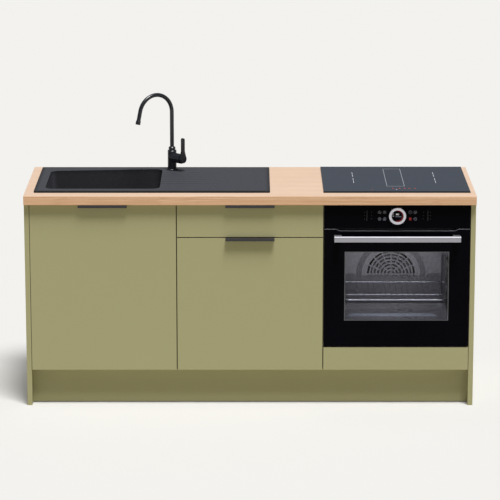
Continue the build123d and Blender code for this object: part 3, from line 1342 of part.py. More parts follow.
def edge_pull(unit_x, top):
    """Folded sheet over the top edge of a front: flange behind, lip for the fingers in front."""
    middle = unit_x + UNIT_WIDTH / 2
    sheet = Plane(origin=point(middle, 0, top), x_dir=(0, 1, 0), z_dir=(1, 0, 0))
    back = FRONT_T + PULL_SHEET
    outline = make_face(Polyline(
        (FRONT_T, -PULL_FLANGE), (back, -PULL_FLANGE), (back, PULL_SHEET), (-PULL_REACH, PULL_SHEET),
        (-PULL_REACH, PULL_SHEET - PULL_LIP), (PULL_SHEET - PULL_REACH, PULL_SHEET - PULL_LIP),
        (PULL_SHEET - PULL_REACH, 0), (FRONT_T, 0), close=True,
    ))
    pull = extrude(sheet * outline, amount=PULL_LENGTH / 2, both=True)
    outer = pull.edges().filter_by(Axis.X).group_by(Axis.Z)[-1]
    return fillet(outer, PULL_BEND_R)


def front(unit_x, base, top):
    return block(front_span(unit_x), (0, FRONT_T), (base, top))


def sink_door():
    door = front(SINK_UNIT_X, FRONT_BASE, FRONT_TOP)
    for z in HINGE_HEIGHTS:
        x = SINK_DOOR_LEFT + CUP_EDGE
        door -= rod(point(x, FRONT_T - CUP_DEPTH, z), point(x, FRONT_T, z), CUP_R + CUP_FIT)
    return door


def sink_door_pull():
    return edge_pull(SINK_UNIT_X, FRONT_TOP)


def hinge_cup(z):
    """Cup pressed into the back of the door, with its screw plate."""
    x = SINK_DOOR_LEFT + CUP_EDGE
    cup = rod(point(x, FRONT_T - CUP_DEPTH, z), point(x, FRONT_T, z), CUP_R)
    half = CUP_PLATE_HEIGHT / 2
    inner = x + CUP_PLATE_WIDTH / 2
    outer = x - CUP_PLATE_WIDTH / 2
    cup += block((outer, inner), (FRONT_T, FRONT_T + CUP_PLATE_T), (z - half, z + half))
    hollow_start = FRONT_T - CUP_DEPTH + CUP_WALL
    return cup - rod(point(x, hollow_start, z), point(x, FRONT_T + CUP_PLATE_T, z), CUP_R - CUP_WALL)


def hinge_cups():
    return group([hinge_cup(z) for z in HINGE_HEIGHTS])


def hinge_arm(z):
    """Mounting plate on the side board and the arm that reaches into the cup."""
    wall = between(SINK_UNIT_X)[0]
    arm_x = SINK_DOOR_LEFT + ARM_FROM_EDGE
    plate_depth = (ARM_PLATE_FRONT, ARM_PLATE_FRONT + ARM_PLATE_LENGTH)
    half = ARM_PLATE_HEIGHT / 2
    arm = block((wall, wall + ARM_PLATE_T), plate_depth, (z - half, z + half))
    reach = (ARM_TIP_DEPTH, plate_depth[1])
    return arm + block((arm_x, arm_x + ARM_T), reach, (z - ARM_HALF_HEIGHT, z + ARM_HALF_HEIGHT))


def hinge_arms():
    return group([hinge_arm(z) for z in HINGE_HEIGHTS])


# Drawers

def channel(side, offset, width, half_height, opens_in, z):
    """One runner member: a folded channel along the depth beside the unit wall."""
    wall = DRAWER_UNIT_X + UNIT_WIDTH / 2 + side * (UNIT_WIDTH / 2 - BOARD_T)
    near = wall - side * offset
    far = wall - side * (offset + width)
    depth = (RUNNER_FRONT, RUNNER_FRONT + RUNNER_LENGTH)
    member = block(sorted((near, far)), depth, (z - half_height, z + half_height))
    if opens_in:
        hollow = (near - side * RUNNER_WEB, far)
    else:
        hollow = (near, far + side * RUNNER_WEB)
    inner = half_height - RUNNER_LIP
    return member - block(sorted(hollow), depth, (z - inner, z + inner))


def outer_half():
    return RUNNER_HEIGHT / 2


def mid_half():
    return outer_half() - RUNNER_LIP - RUNNER_PLAY


def inner_half():
    return mid_half() - RUNNER_LIP - RUNNER_PLAY


def runner_z(box_base):
    return box_base + RUNNER_LIFT


def runner_rails():
    members = []
    for box_base in (UPPER_BOX_BASE, LOWER_BOX_BASE):
        for side in (-1, 1):
            members.append(channel(side, 0, RUNNER_OUTER_WIDTH, outer_half(), True, runner_z(box_base)))
    return group(members)


def mid_rails(box_base):
    z = runner_z(box_base)
    return group([
        channel(side, RUNNER_MID_OFFSET, RUNNER_MID_WIDTH, mid_half(), True, z) for side in (-1, 1)
    ])


def drawer_rails(box_base):
    z = runner_z(box_base)
    offset = RUNNER_SPACE - RUNNER_INNER_WIDTH
    return group([
        channel(side, offset, RUNNER_INNER_WIDTH, inner_half(), False, z) for side in (-1, 1)
    ])


def drawer_box(box_base, height):
    """Two sides, a back and a base, fixed behind the front."""
    inner = between(DRAWER_UNIT_X)
    left = inner[0] + RUNNER_SPACE
    right = inner[1] - RUNNER_SPACE
    end = RUNNER_FRONT + RUNNER_LENGTH
    z = (box_base, box_base + height)
    clear = (left + DRAWER_BOARD_T, right - DRAWER_BOARD_T)
    base_z = (box_base + DRAWER_BASE_LIFT, box_base + DRAWER_BASE_LIFT + DRAWER_BASE_T)
    return group([
        block((left, clear[0]), (FRONT_T, end), z),
        block((clear[1], right), (FRONT_T, end), z),
        block(clear, (end - DRAWER_BOARD_T, end), z),
        block(clear, (FRONT_T, end - DRAWER_BOARD_T), base_z),
    ])


def upper_drawer_front():
    return front(DRAWER_UNIT_X, UPPER_FRONT_BASE, FRONT_TOP)


def upper_drawer_pull():
    return edge_pull(DRAWER_UNIT_X, FRONT_TOP)


def upper_drawer_box():
    return drawer_box(UPPER_BOX_BASE, UPPER_BOX_HEIGHT)


def upper_drawer_rails():
    return drawer_rails(UPPER_BOX_BASE)


def upper_mid_rails():
    return mid_rails(UPPER_BOX_BASE)


def lower_drawer_front():
    return front(DRAWER_UNIT_X, FRONT_BASE, LOWER_FRONT_TOP)


def lower_drawer_pull():
    return edge_pull(DRAWER_UNIT_X, LOWER_FRONT_TOP)


def lower_drawer_box():
    return drawer_box(LOWER_BOX_BASE, LOWER_BOX_HEIGHT)


def lower_drawer_rails():
    return drawer_rails(LOWER_BOX_BASE)


def lower_mid_rails():
    return mid_rails(LOWER_BOX_BASE)


NODES = (
    left_end_panel, right_end_panel, carcass_sides, carcass_floors, carcass_rails, drawer_unit_back,
    oven_shelf, filler_panel, plinth, adjustable_legs, plinth_clips, worktop,
    sink, waste_body, strainer_basket, waste_trap, tap_body, tap_mount, tap_spout, lever_cap, tap_lever,
    hob_glass, hob_casing, oven_covers, oven_face_frame, oven_cavity, door_seal, oven_hinge_brackets,
    fan_baffle, oven_fan, fan_motor, heating_elements, oven_lamp, shelf_ladders, wire_rack, baking_tray,
    control_panel, control_display, control_ring,
    door_outer_glass, door_top_trim, door_frame, door_inner_glass, oven_handle,
    sink_door, sink_door_pull, hinge_cups, hinge_arms, runner_rails,
    upper_drawer_front, upper_drawer_pull, upper_drawer_box, upper_drawer_rails, upper_mid_rails,
    lower_drawer_front, lower_drawer_pull, lower_drawer_box, lower_drawer_rails, lower_mid_rails,
)

os.makedirs("parts", exist_ok=True)
for make in NODES:
    export_step(make(), f"parts/{make.__name__}.step")
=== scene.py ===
# %% [markdown]
# This lesson dresses a packed kitchen base run: three 600 mm units with olive fronts, a pale oak
# worktop, a black composite sink with its mixer tap, a glass hob and a built-in oven.
# The solids come in as a fixed frame in metres, with the floor at zero, X to the right and Y to the
# back. Every new piece takes its place from the solid that carries it.

# %% Load the frame
import math

import bmesh
import bpy
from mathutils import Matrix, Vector


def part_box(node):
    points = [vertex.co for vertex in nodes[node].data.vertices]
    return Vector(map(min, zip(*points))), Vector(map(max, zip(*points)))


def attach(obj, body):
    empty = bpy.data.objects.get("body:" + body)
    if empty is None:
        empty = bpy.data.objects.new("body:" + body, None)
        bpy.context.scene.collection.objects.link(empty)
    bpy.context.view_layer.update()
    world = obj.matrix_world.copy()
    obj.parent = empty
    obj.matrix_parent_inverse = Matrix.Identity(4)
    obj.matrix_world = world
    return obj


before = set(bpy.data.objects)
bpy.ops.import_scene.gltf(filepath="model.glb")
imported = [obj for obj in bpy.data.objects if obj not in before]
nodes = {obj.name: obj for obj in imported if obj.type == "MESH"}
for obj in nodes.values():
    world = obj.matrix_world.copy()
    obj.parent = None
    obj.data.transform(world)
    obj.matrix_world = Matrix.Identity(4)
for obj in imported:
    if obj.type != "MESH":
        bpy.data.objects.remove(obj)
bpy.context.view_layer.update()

# %% [markdown]
# A finish is a tree of shader nodes. Writing each node takes three or four lines, so one small helper
# makes a node, sets its options and fills its sockets. A socket that is handed another socket is
# linked, and anything else becomes its plain value. Nodes that come up often have a helper each.

# %% Helpers for shader trees
def fill(tree, made, sockets):
    for key, value in sockets.items():
        if isinstance(value, bpy.types.NodeSocket):
            tree.links.new(value, made.inputs[key])
        else:
            made.inputs[key].default_value = value


def add_node(tree, kind, sockets=None, **options):
    made = tree.nodes.new(kind)
    for name, value in options.items():
        setattr(made, name, value)
    fill(tree, made, sockets or {})
    return made


def maths(tree, operation, first, second=0.0):
    return add_node(tree, "ShaderNodeMath", {0: first, 1: second}, operation=operation).outputs[0]


def times(tree, first, second):
    return maths(tree, "MULTIPLY", first, second)


def vector_maths(tree, operation, first, second):
    return add_node(tree, "ShaderNodeVectorMath", {0: first, 1: second}, operation=operation).outputs


def map_range(tree, value, low, high, to_low=0.0, to_high=1.0):
    sockets = {"Value": value, "From Min": low, "From Max": high, "To Min": to_low, "To Max": to_high}
    return add_node(tree, "ShaderNodeMapRange", sockets).outputs["Result"]


def mix_tone(tree, factor, first, second):
    """Mix of two tones. The node keeps its sockets for colours at 6, 7 and 2."""
    return add_node(tree, "ShaderNodeMix", {0: factor, 6: first, 7: second}, data_type="RGBA").outputs[2]


def noise(tree, vector, scale, detail):
    return add_node(tree, "ShaderNodeTexNoise", {"Vector": vector, "Scale": scale, "Detail": detail}).outputs


def split(tree, vector):
    return add_node(tree, "ShaderNodeSeparateXYZ", {0: vector}).outputs


def split_normal(tree):
    return split(tree, add_node(tree, "ShaderNodeNewGeometry").outputs["Normal"])


def between(tree, value, low, high):
    above = maths(tree, "GREATER_THAN", value, low)
    return times(tree, above, maths(tree, "LESS_THAN", value, high))


def distance_along(tree, value, centre):
    return maths(tree, "ABSOLUTE", maths(tree, "SUBTRACT", value, centre))


def tone(red, green, blue):
    """Scene-linear colour of a screen tone given as 0 to 255."""
    def linear(level):
        share = level / 255
        return share / 12.92 if share <= 0.04045 else ((share + 0.055) / 1.055) ** 2.4
    return (linear(red), linear(green), linear(blue), 1.0)


print("middle grey in scene-linear:", round(tone(128, 128, 128)[0], 3))

# %% [markdown]
# Several finishes share the same small faults of real surfaces: a fine grain, hand marks that change
# the gloss, brushed streaks and edges that catch the light or wear through. Each of these is a node
# group, made once and placed in a material with its own numbers.

# %% Shared surface groups
def new_group(name, inputs, outputs, kind="ShaderNodeTree"):
    tree = bpy.data.node_groups.new(name, kind)
    for socket, socket_kind, value in inputs:
        made = tree.interface.new_socket(name=socket, in_out="INPUT", socket_type=socket_kind)
        if value is not None:
            made.default_value = value
    for socket, socket_kind in outputs:
        tree.interface.new_socket(name=socket, in_out="OUTPUT", socket_type=socket_kind)
    return tree, tree.nodes.new("NodeGroupInput").outputs, tree.nodes.new("NodeGroupOutput").inputs


FLOAT = "NodeSocketFloat"
VECTOR = "NodeSocketVector"


def make_grain_group():
    """Fine noise of one size, as a mask from 0 to 1."""
    tree, given, result = new_group("fine_grain", [
        ("Vector", VECTOR, None), ("Scale", FLOAT, 400.0), ("Detail", FLOAT, 3.0),
    ], [("Mask", FLOAT)])
    fine = noise(tree, given["Vector"], given["Scale"], given["Detail"])[0]
    tree.links.new(map_range(tree, fine, 0.3, 0.7), result["Mask"])
    return tree


def make_handling_group():
    """Broad cloudy marks left by hands and cloths, broken by a finer noise."""
    tree, given, result = new_group("hand_marks", [
        ("Vector", VECTOR, None), ("Scale", FLOAT, 6.0),
    ], [("Mask", FLOAT)])
    broad = noise(tree, given["Vector"], given["Scale"], 2.0)[0]
    fine = noise(tree, given["Vector"], times(tree, given["Scale"], 9.0), 4.0)[0]
    tree.links.new(map_range(tree, times(tree, broad, fine), 0.12, 0.4), result["Mask"])
    return tree


def make_brushed_group():
    """Long scratches of a brushing belt: noise squeezed across one direction."""
    tree, given, result = new_group("brushed_streaks", [
        ("Vector", VECTOR, None), ("Across", VECTOR, (4.0, 900.0, 900.0)),
    ], [("Mask", FLOAT)])
    squeezed = vector_maths(tree, "MULTIPLY", given["Vector"], given["Across"])[0]
    tree.links.new(map_range(tree, noise(tree, squeezed, 1.0, 4.0)[0], 0.3, 0.7), result["Mask"])
    return tree


def make_edge_group():
    """Rounded edges: the normal of a small bevel, and how far it leans from the flat face."""
    tree, given, result = new_group("rounded_edges", [
        ("Radius", FLOAT, 0.001), ("Vector", VECTOR, None),
    ], [("Normal", VECTOR), ("Mask", FLOAT)])
    bevel = add_node(tree, "ShaderNodeBevel", {"Radius": given["Radius"]}, samples=4).outputs[0]
    flat = add_node(tree, "ShaderNodeNewGeometry").outputs["Normal"]
    lean = vector_maths(tree, "DOT_PRODUCT", bevel, flat)["Value"]
    broken = times(tree, map_range(tree, lean, 0.995, 0.85), noise(tree, given["Vector"], 70.0, 5.0)[0])
    tree.links.new(bevel, result["Normal"])
    tree.links.new(broken, result["Mask"])
    return tree


GRAIN = make_grain_group()
HANDLING = make_handling_group()
BRUSHED = make_brushed_group()
EDGES = make_edge_group()
print("shared groups:", [g.name for g in (GRAIN, HANDLING, BRUSHED, EDGES)])


def use_group(tree, group, place, **sockets):
    return add_node(tree, "ShaderNodeGroup", {"Vector": place, **sockets}, node_tree=group).outputs


# %% [markdown]
# Most pieces are a painted, moulded or plated surface that differs only in numbers: its tone, how much
# the tone drifts, its gloss and the height of its grain. One function builds that tree. Values that
# hold all over the surface go straight onto the shader, and only what changes is linked.

# %% The common coated finish
def start_material(name):
    made = bpy.data.materials.new(name)
    made.use_nodes = True
    shader = made.node_tree.nodes["Principled BSDF"]
    place = made.node_tree.nodes.new("ShaderNodeTexCoord").outputs["Object"]
    return made, made.node_tree, shader, place


def set_shader(tree, shader, **values):
    """Links or sets inputs of the shader, whose names have _ for a space here."""
    fill(tree, shader, {name.replace("_", " "): value for name, value in values.items()})


def relief(tree, edges, height, distance):
    """Normal of a fine relief on top of the rounded edges."""
    return add_node(tree, "ShaderNodeBump", {
        "Height": height, "Distance": distance, "Normal": edges["Normal"],
    }).outputs[0]


def shade(colour, share):
    return tuple(v * share for v in colour[:3]) + (1.0,)


def coated(
    name, colour, gloss, grain=500.0, drift=0.06, height=0.00003, edge=0.0008, edge_wear_and_highlight=None, metal=0.0, **plain,
):
    """Even coat with a little drift of tone and gloss, a fine grain and softened edges."""
    made, tree, shader, place = start_material(name)
    fine = use_group(tree, GRAIN, place, Scale=grain)["Mask"]
    hands = use_group(tree, HANDLING, place)["Mask"]
    edges = use_group(tree, EDGES, place, Radius=edge)
    body = mix_tone(tree, fine, shade(colour, 1 - drift), shade(colour, 1 + drift))
    # edges get a lighter tone; on the olive boards it is a painted highlight on the arris
    if edge_wear_and_highlight is not None:
        body = mix_tone(tree, times(tree, edges["Mask"], edge_wear_and_highlight[1]), body, edge_wear_and_highlight[0])
    set_shader(
        tree, shader, Base_Color=body, Roughness=map_range(tree, hands, 0.0, 1.0, *gloss),
        Normal=relief(tree, edges, fine, height), Metallic=metal, **plain,
    )
    return made


def brushed(name, colour, gloss, across, drift=0.12, height=0.00002, edge=0.0005):
    """Metal with the long scratches of a brushing belt."""
    made, tree, shader, place = start_material(name)
    streaks = use_group(tree, BRUSHED, place, Across=across)["Mask"]
    hands = use_group(tree, HANDLING, place, Scale=12.0)["Mask"]
    edges = use_group(tree, EDGES, place, Radius=edge)
    uneven = maths(tree, "ADD", times(tree, streaks, 0.6), times(tree, hands, 0.4))
    body = mix_tone(tree, streaks, shade(colour, 1 - drift), shade(colour, 1 + drift))
    set_shader(
        tree, shader, Base_Color=body, Roughness=map_range(tree, uneven, 0.0, 1.0, *gloss),
        Normal=relief(tree, edges, streaks, height), Metallic=1.0,
    )
    return made


def dress(finish, *names):
    """Gives CAD nodes a finish."""
    for name in names:
        slots = nodes[name].data.materials
        slots.clear()
        slots.append(finish)


# %% [markdown]
# The fronts, end panels, filler and plinth are boards with an olive matt lacquer. A real lacquered
# board is very even, so the drift is small. What gives it away is a faint orange peel, the soft arris
# that catches the light, with a painted highlight in a paler olive along it, and broad hand marks in the
# gloss.

# %% Olive lacquer
OLIVE = tone(167, 164, 125)
# the paler olive on the edges is a painted highlight on the arris
olive_lacquer = coated(
    "olive_lacquer", OLIVE, (0.42, 0.5), grain=900.0, drift=0.012, height=0.000012, edge=0.0009,
    edge_wear_and_highlight=(shade(OLIVE, 1.25), 0.5),
)
OLIVE_BOARDS = (
    "left_end_panel", "right_end_panel", "filler_panel", "plinth", "sink_door", "upper_drawer_front",
    "lower_drawer_front",
)
dress(olive_lacquer, *OLIVE_BOARDS)
print("olive boards:", len(OLIVE_BOARDS))

# %% [markdown]
# The worktop is a chipboard slab with an oak-look surface whose figure runs along the length. The top
# is pale and almost even, the front edge is a warmer strip with clear lines. The figure is noise that
# is stretched along X, in three sizes: broad bands of early and late wood, narrow lines and short pores.

# %% Pale oak worktop
def make_oak():
    made, tree, shader, place = start_material("pale_oak")
    bend = noise(tree, place, 3.0, 2.0)["Color"]
    sway = vector_maths(tree, "MULTIPLY", bend, (0.0, 0.03, 0.006))[0]
    wavy = vector_maths(tree, "ADD", place, sway)[0]

    def figure(across, detail):
        return noise(tree, vector_maths(tree, "MULTIPLY", wavy, across)[0], 1.0, detail)[0]

    bands = map_range(tree, figure((0.5, 28.0, 60.0), 3.0), 0.35, 0.65)
    lines = map_range(tree, figure((1.6, 190.0, 260.0), 4.0), 0.35, 0.7)
    pores = map_range(tree, figure((45.0, 900.0, 900.0), 2.0), 0.62, 0.74)
    flat = map_range(tree, split_normal(tree)["Z"], 0.3, 0.9)
    top = mix_tone(tree, lines, tone(199, 170, 146), tone(213, 187, 166))
    top = mix_tone(tree, times(tree, bands, 0.5), top, tone(205, 177, 153))
    side = mix_tone(tree, lines, tone(203, 159, 126), tone(240, 201, 171))
    side = mix_tone(tree, times(tree, bands, 0.6), side, tone(211, 166, 128))
    wood = mix_tone(tree, flat, side, top)
    wood = mix_tone(tree, times(tree, pores, 0.35), wood, tone(176, 134, 100))
    edges = use_group(tree, EDGES, place, Radius=0.0016)
    hands = use_group(tree, HANDLING, place, Scale=4.0)["Mask"]
    set_shader(
        tree, shader, Base_Color=wood, Roughness=map_range(tree, hands, 0.0, 1.0, 0.42, 0.56),
        Normal=relief(tree, edges, maths(tree, "SUBTRACT", lines, pores), 0.00004),
    )
    return made


dress(make_oak(), "worktop")

# %% [markdown]
# The sink is cast from stone grains in resin: a dark, slightly blue grey that is dull, a little rough
# to the touch and full of tiny pale and dark grains. Speckles, a finer grain and a small bump make it.
# Its parts differ in tone by painted light and shade, and masks read from height, facing and depth tell
# them apart: the deck is the palest, lit and with its sheen painted in, the bowl is darker with painted
# shade except for the wall that looks to the right, which carries painted light, and the grooves of the
# drainer and the rounded front rim are nearly black with painted shade.

# %% Composite sink
DECK_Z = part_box("sink")[1].z
BOWL_DROP, DECK_DROP = 0.02, 0.004
GROOVE_TOP, GROOVE_DEEP = 0.0001, 0.0012
RIM_WIDTH = 0.011


def front_rim(tree, place, node):
    """One on a narrow strip along the front of a piece, fading out to the back."""
    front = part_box(node)[0].y
    return map_range(tree, split(tree, place)["Y"], front + RIM_WIDTH, front + 0.6 * RIM_WIDTH)


def make_composite():
    made, tree, shader, place = start_material("dark_composite")
    cells = add_node(tree, "ShaderNodeTexVoronoi", {"Vector": place, "Scale": 900.0})
    speck = add_node(tree, "ShaderNodeSeparateColor", {0: cells.outputs["Color"]}).outputs[0]
    pale = map_range(tree, speck, 0.86, 0.95)
    fine = use_group(tree, GRAIN, place, Scale=1500.0)["Mask"]
    lit_deck_tone = mix_tone(tree, fine, tone(48, 49, 54), tone(59, 60, 66))
    shaded_hollow_tone = mix_tone(tree, fine, tone(34, 34, 37), tone(42, 42, 46))
    facing = split_normal(tree)
    height_now = split(tree, place)["Z"]
    level = map_range(tree, facing["Z"], 0.4, 0.9)
    raised = map_range(tree, height_now, DECK_Z - BOWL_DROP, DECK_Z - DECK_DROP)
    # the bowl's wall that looks to the right gets painted light
    lit_right_wall = map_range(tree, facing["X"], 0.35, 0.85)
    shaded_hollow_tone = mix_tone(tree, lit_right_wall, shaded_hollow_tone, tone(64, 65, 71))
    # painted light on the deck where faces look up, painted shade down in the bowl
    body = mix_tone(tree, times(tree, level, raised), shaded_hollow_tone, lit_deck_tone)
    # painted shade in the drainer's grooves, read from depth below the deck
    sunk = map_range(tree, height_now, DECK_Z - GROOVE_TOP, DECK_Z - GROOVE_DEEP)
    groove_shade = times(tree, times(tree, sunk, raised), 0.6)
    body = mix_tone(tree, groove_shade, body, tone(16, 16, 18))
    body = mix_tone(tree, times(tree, pale, 0.3), body, tone(104, 105, 110))
    # painted shade on the rounded front rim
    body = mix_tone(tree, front_rim(tree, place, "sink"), body, tone(6, 6, 8))
    edges = use_group(tree, EDGES, place, Radius=0.0012)
    height = maths(tree, "ADD", fine, times(tree, speck, 0.7))
    set_shader(
        tree, shader, Base_Color=body, Roughness=map_range(tree, fine, 0.0, 1.0, 0.5, 0.66),
        Normal=relief(tree, edges, height, 0.00006), Specular_IOR_Level=0.35,
    )
    return made


dress(make_composite(), "sink")

# %% [markdown]
# The tap is brass under a satin black coat. The lever, cap and spout share it, with a thin clear coat
# on top for the narrow highlights, and their edges are a little brighter in tone. The pulls are
# folded strips of dark anodised aluminium with fine brush marks along them.

# %% Satin black tap and dark pulls
satin_black = coated(
    "satin_black", tone(24, 27, 34), (0.26, 0.34), grain=1400.0, drift=0.05, height=0.000008,
    edge_wear_and_highlight=(tone(86, 86, 94), 0.5), Coat_Weight=0.15, Coat_Roughness=0.28,
)
dress(satin_black, "tap_body", "tap_spout", "lever_cap", "tap_lever")
graphite = brushed("graphite_anodised", tone(74, 72, 74), (0.38, 0.5), (4.0, 900.0, 900.0))
dress(graphite, "sink_door_pull", "upper_drawer_pull", "lower_drawer_pull")

# %% [markdown]
# The metals inside and below are plated or bare: stainless for the waste, zinc for hinges and runners,
# galvanised sheet round the oven and under the hob, brass for the tap's shank.

# %% Plain metals
stainless = brushed("stainless_steel", tone(205, 205, 208), (0.2, 0.34), (300.0, 300.0, 6.0))
zinc = coated("zinc_plated", tone(186, 190, 196), (0.28, 0.42), grain=260.0, drift=0.05, metal=1.0)
galvanised = coated("galvanised_sheet", tone(168, 172, 176), (0.36, 0.54), grain=60.0, drift=0.09, metal=1.0)
brass = coated("brass_shank", tone(190, 158, 96), (0.3, 0.45), grain=300.0, drift=0.06, metal=1.0)
dress(stainless, "waste_body", "strainer_basket")
dress(zinc, "hinge_cups", "hinge_arms", "runner_rails", "upper_drawer_rails", "upper_mid_rails",
      "lower_drawer_rails", "lower_mid_rails", "oven_hinge_brackets")
dress(galvanised, "oven_covers", "hob_casing", "fan_motor")
dress(brass, "tap_mount")

# %% [markdown]
# The carcass is white melamine board. Rows of shelf-pin holes, 32 mm apart, run up its sides behind
# the front and before the back. They are a pattern in the finish, on faces that look sideways only,
# and each is a dark brown disc: the board's core with painted shade in the hole.
# The edges that look to the front carry an olive edge strip, painted darker than the fronts as painted
# shade, which keeps the gaps between fronts dark.

# %% White melamine with system holes
HOLE_PITCH = 0.032
HOLE_RADIUS = 0.0025
HOLE_ROW_INSET = 0.037
sides_low, sides_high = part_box("carcass_sides")


def make_melamine():
    made, tree, shader, place = start_material("white_melamine")
    fine = use_group(tree, GRAIN, place, Scale=700.0)["Mask"]
    spot = split(tree, place)
    normal = split_normal(tree)
    sideways = map_range(tree, maths(tree, "ABSOLUTE", normal["X"]), 0.9, 0.95)
    middle = (sides_low.y + sides_high.y) / 2
    row = (sides_high.y - sides_low.y) / 2 - HOLE_ROW_INSET
    from_row = maths(tree, "SUBTRACT", distance_along(tree, spot["Y"], middle), row)
    step = maths(tree, "PINGPONG", spot["Z"], HOLE_PITCH / 2)
    squared = maths(tree, "ADD", maths(tree, "POWER", from_row, 2.0), maths(tree, "POWER", step, 2.0))
    away = maths(tree, "SQRT", squared)
    hole = map_range(tree, away, HOLE_RADIUS, HOLE_RADIUS * 0.9)
    hole = times(tree, hole, sideways)
    board = mix_tone(tree, fine, tone(226, 226, 222), tone(236, 236, 232))
    # front edges: olive strip darkened with painted shade for the gaps between fronts
    shaded_front_edge = map_range(tree, normal["Y"], -0.8, -0.95)
    board = mix_tone(tree, shaded_front_edge, board, tone(92, 86, 62))
    edges = use_group(tree, EDGES, place, Radius=0.0006)
    height = maths(tree, "SUBTRACT", times(tree, fine, 0.05), hole)
    set_shader(
        # the holes: the board's brown core with painted shade in the hole
        tree, shader, Base_Color=mix_tone(tree, hole, board, tone(92, 84, 74)),
        Roughness=map_range(tree, fine, 0.0, 1.0, 0.36, 0.46), Normal=relief(tree, edges, height, 0.0004),
    )
    return made


dress(make_melamine(), "carcass_sides")
plain_melamine = coated("plain_melamine", tone(231, 231, 227), (0.36, 0.46), grain=700.0, drift=0.02)
dress(plain_melamine, "carcass_floors", "carcass_rails", "drawer_unit_back", "oven_shelf")
drawer_board = coated("drawer_board", tone(214, 214, 212), (0.4, 0.5), grain=500.0, drift=0.025)
dress(drawer_board, "upper_drawer_box", "lower_drawer_box")

# %% [markdown]
# Legs, clips, the trap and the frame of the oven's door are moulded plastic, black or white. The seal
# round the oven's mouth is dark rubber.

# %% Moulded plastics and rubber
black_plastic = coated("black_plastic", tone(34, 34, 36), (0.42, 0.6), grain=800.0, drift=0.08)
white_plastic = coated("white_plastic", tone(232, 232, 228), (0.34, 0.46), grain=500.0, drift=0.02)
seal_rubber = coated("seal_rubber", tone(44, 42, 42), (0.6, 0.75), grain=600.0, drift=0.1)
dress(black_plastic, "adjustable_legs", "plinth_clips", "door_frame")
dress(white_plastic, "waste_trap")
dress(seal_rubber, "door_seal")

# %% [markdown]
# The hob is ceramic glass over a dark body. Seen at a low angle it mirrors the pale room and looks
# blue grey, so its top carries that reflection painted in as a dark blue grey, and faces that don't look
# up stay nearly black. Its edge is ground to a facet that is nearly black, so along the front the
# painted reflection gives way to black, and the mask for the sink's front rim serves here too.

# %% Hob glass
def make_hob_glass():
    made, tree, shader, place = start_material("hob_ceramic")
    fine = use_group(tree, GRAIN, place, Scale=1800.0)["Mask"]
    hands = use_group(tree, HANDLING, place, Scale=7.0)["Mask"]
    edges = use_group(tree, EDGES, place, Radius=0.0008)
    level = map_range(tree, split_normal(tree)["Z"], 0.4, 0.9)
    # the top's blue grey is a painted reflection of the pale room
    body = mix_tone(tree, fine, tone(36, 46, 60), tone(41, 51, 65))
    rim = front_rim(tree, place, "hob_glass")
    # faces that don't look up, and the front strip, stay near black without the painted reflection
    body = mix_tone(tree, rim, mix_tone(tree, level, tone(4, 4, 7), body), tone(3, 3, 5))
    smooth = map_range(tree, hands, 0.0, 1.0, 0.1, 0.18)
    rough = maths(tree, "MAXIMUM", smooth, times(tree, rim, 0.8))
    set_shader(
        tree, shader, Base_Color=body, Roughness=rough, Normal=edges["Normal"], Specular_IOR_Level=0.35,
    )
    return made


dress(make_hob_glass(), "hob_glass")

# %% [markdown]
# Oven door and control panel are black glass. The outer pane is printed black all round and clear in
# the middle, so its alpha drops inside the window. A thin pale line runs round the window. Both
# come from one test on position: the line is what lies within the window but not within it less a trim.

# %% Oven glass
WINDOW = {"x": 0.6, "z": 0.507, "half_width": 0.2135, "half_height": 0.145}
WINDOW_LINE = 0.003


def make_door_glass():
    made, tree, shader, place = start_material("printed_door_glass")
    spot = split(tree, place)
    across = distance_along(tree, spot["X"], WINDOW["x"])
    up = distance_along(tree, spot["Z"], WINDOW["z"])

    def within(trim):
        narrow = maths(tree, "LESS_THAN", across, WINDOW["half_width"] - trim)
        return times(tree, narrow, maths(tree, "LESS_THAN", up, WINDOW["half_height"] - trim))

    inside = within(WINDOW_LINE)
    line = maths(tree, "SUBTRACT", within(0.0), inside)
    hands = use_group(tree, HANDLING, place, Scale=9.0)["Mask"]
    pane = mix_tone(tree, hands, tone(5, 4, 9), tone(7, 6, 12))
    set_shader(
        tree, shader, Base_Color=mix_tone(tree, line, pane, tone(98, 100, 107)),
        Roughness=map_range(tree, hands, 0.0, 1.0, 0.04, 0.12),
        Alpha=map_range(tree, inside, 0.0, 1.0, 1.0, 0.3), Specular_IOR_Level=0.02,
    )
    return made


black_glass = coated(
    "black_glass", tone(5, 4, 9), (0.05, 0.12), grain=1500.0, drift=0.1, height=0.000001, edge=0.0006,
    Specular_IOR_Level=0.02,
)
clear_pane = coated(
    "clear_pane", tone(40, 40, 44), (0.04, 0.1), grain=900.0, drift=0.05, height=0.000001, Alpha=0.12,
)
dress(make_door_glass(), "door_outer_glass")
dress(black_glass, "control_panel", "control_display")
dress(clear_pane, "door_inner_glass")

# %% [markdown]
# The handle and the trim over the door are brushed steel, with the belt marks along the bar. The
# setting ring is turned from aluminium and a shade brighter.

# %% Handle, trim and setting ring
bar_steel = brushed("bar_steel", tone(176, 175, 182), (0.42, 0.54), (3.0, 1200.0, 1200.0), drift=0.07)
trim_steel = brushed("trim_steel", tone(116, 114, 121), (0.4, 0.5), (3.0, 900.0, 900.0), drift=0.08)
ring_aluminium = coated(
    "ring_aluminium", tone(214, 213, 220), (0.34, 0.44), grain=1600.0, drift=0.04, metal=1.0,
)
dress(bar_steel, "oven_handle")
dress(trim_steel, "door_top_trim")
dress(ring_aluminium, "control_ring")

# %% [markdown]
# Most of the oven's inside is grey enamel: a glassy coat with tiny pale flecks. One function makes it,
# and a mask can give part of a piece another tone: painted shade on the ring pressed round the fan,
# painted shade in the hollow behind the sheet that covers the fan and on the side walls, and a pale
# strip of painted light across the tray, which stands for the light that the tray throws back. The
# rack is chromed, the elements are dulled by heat and the lamp glows.

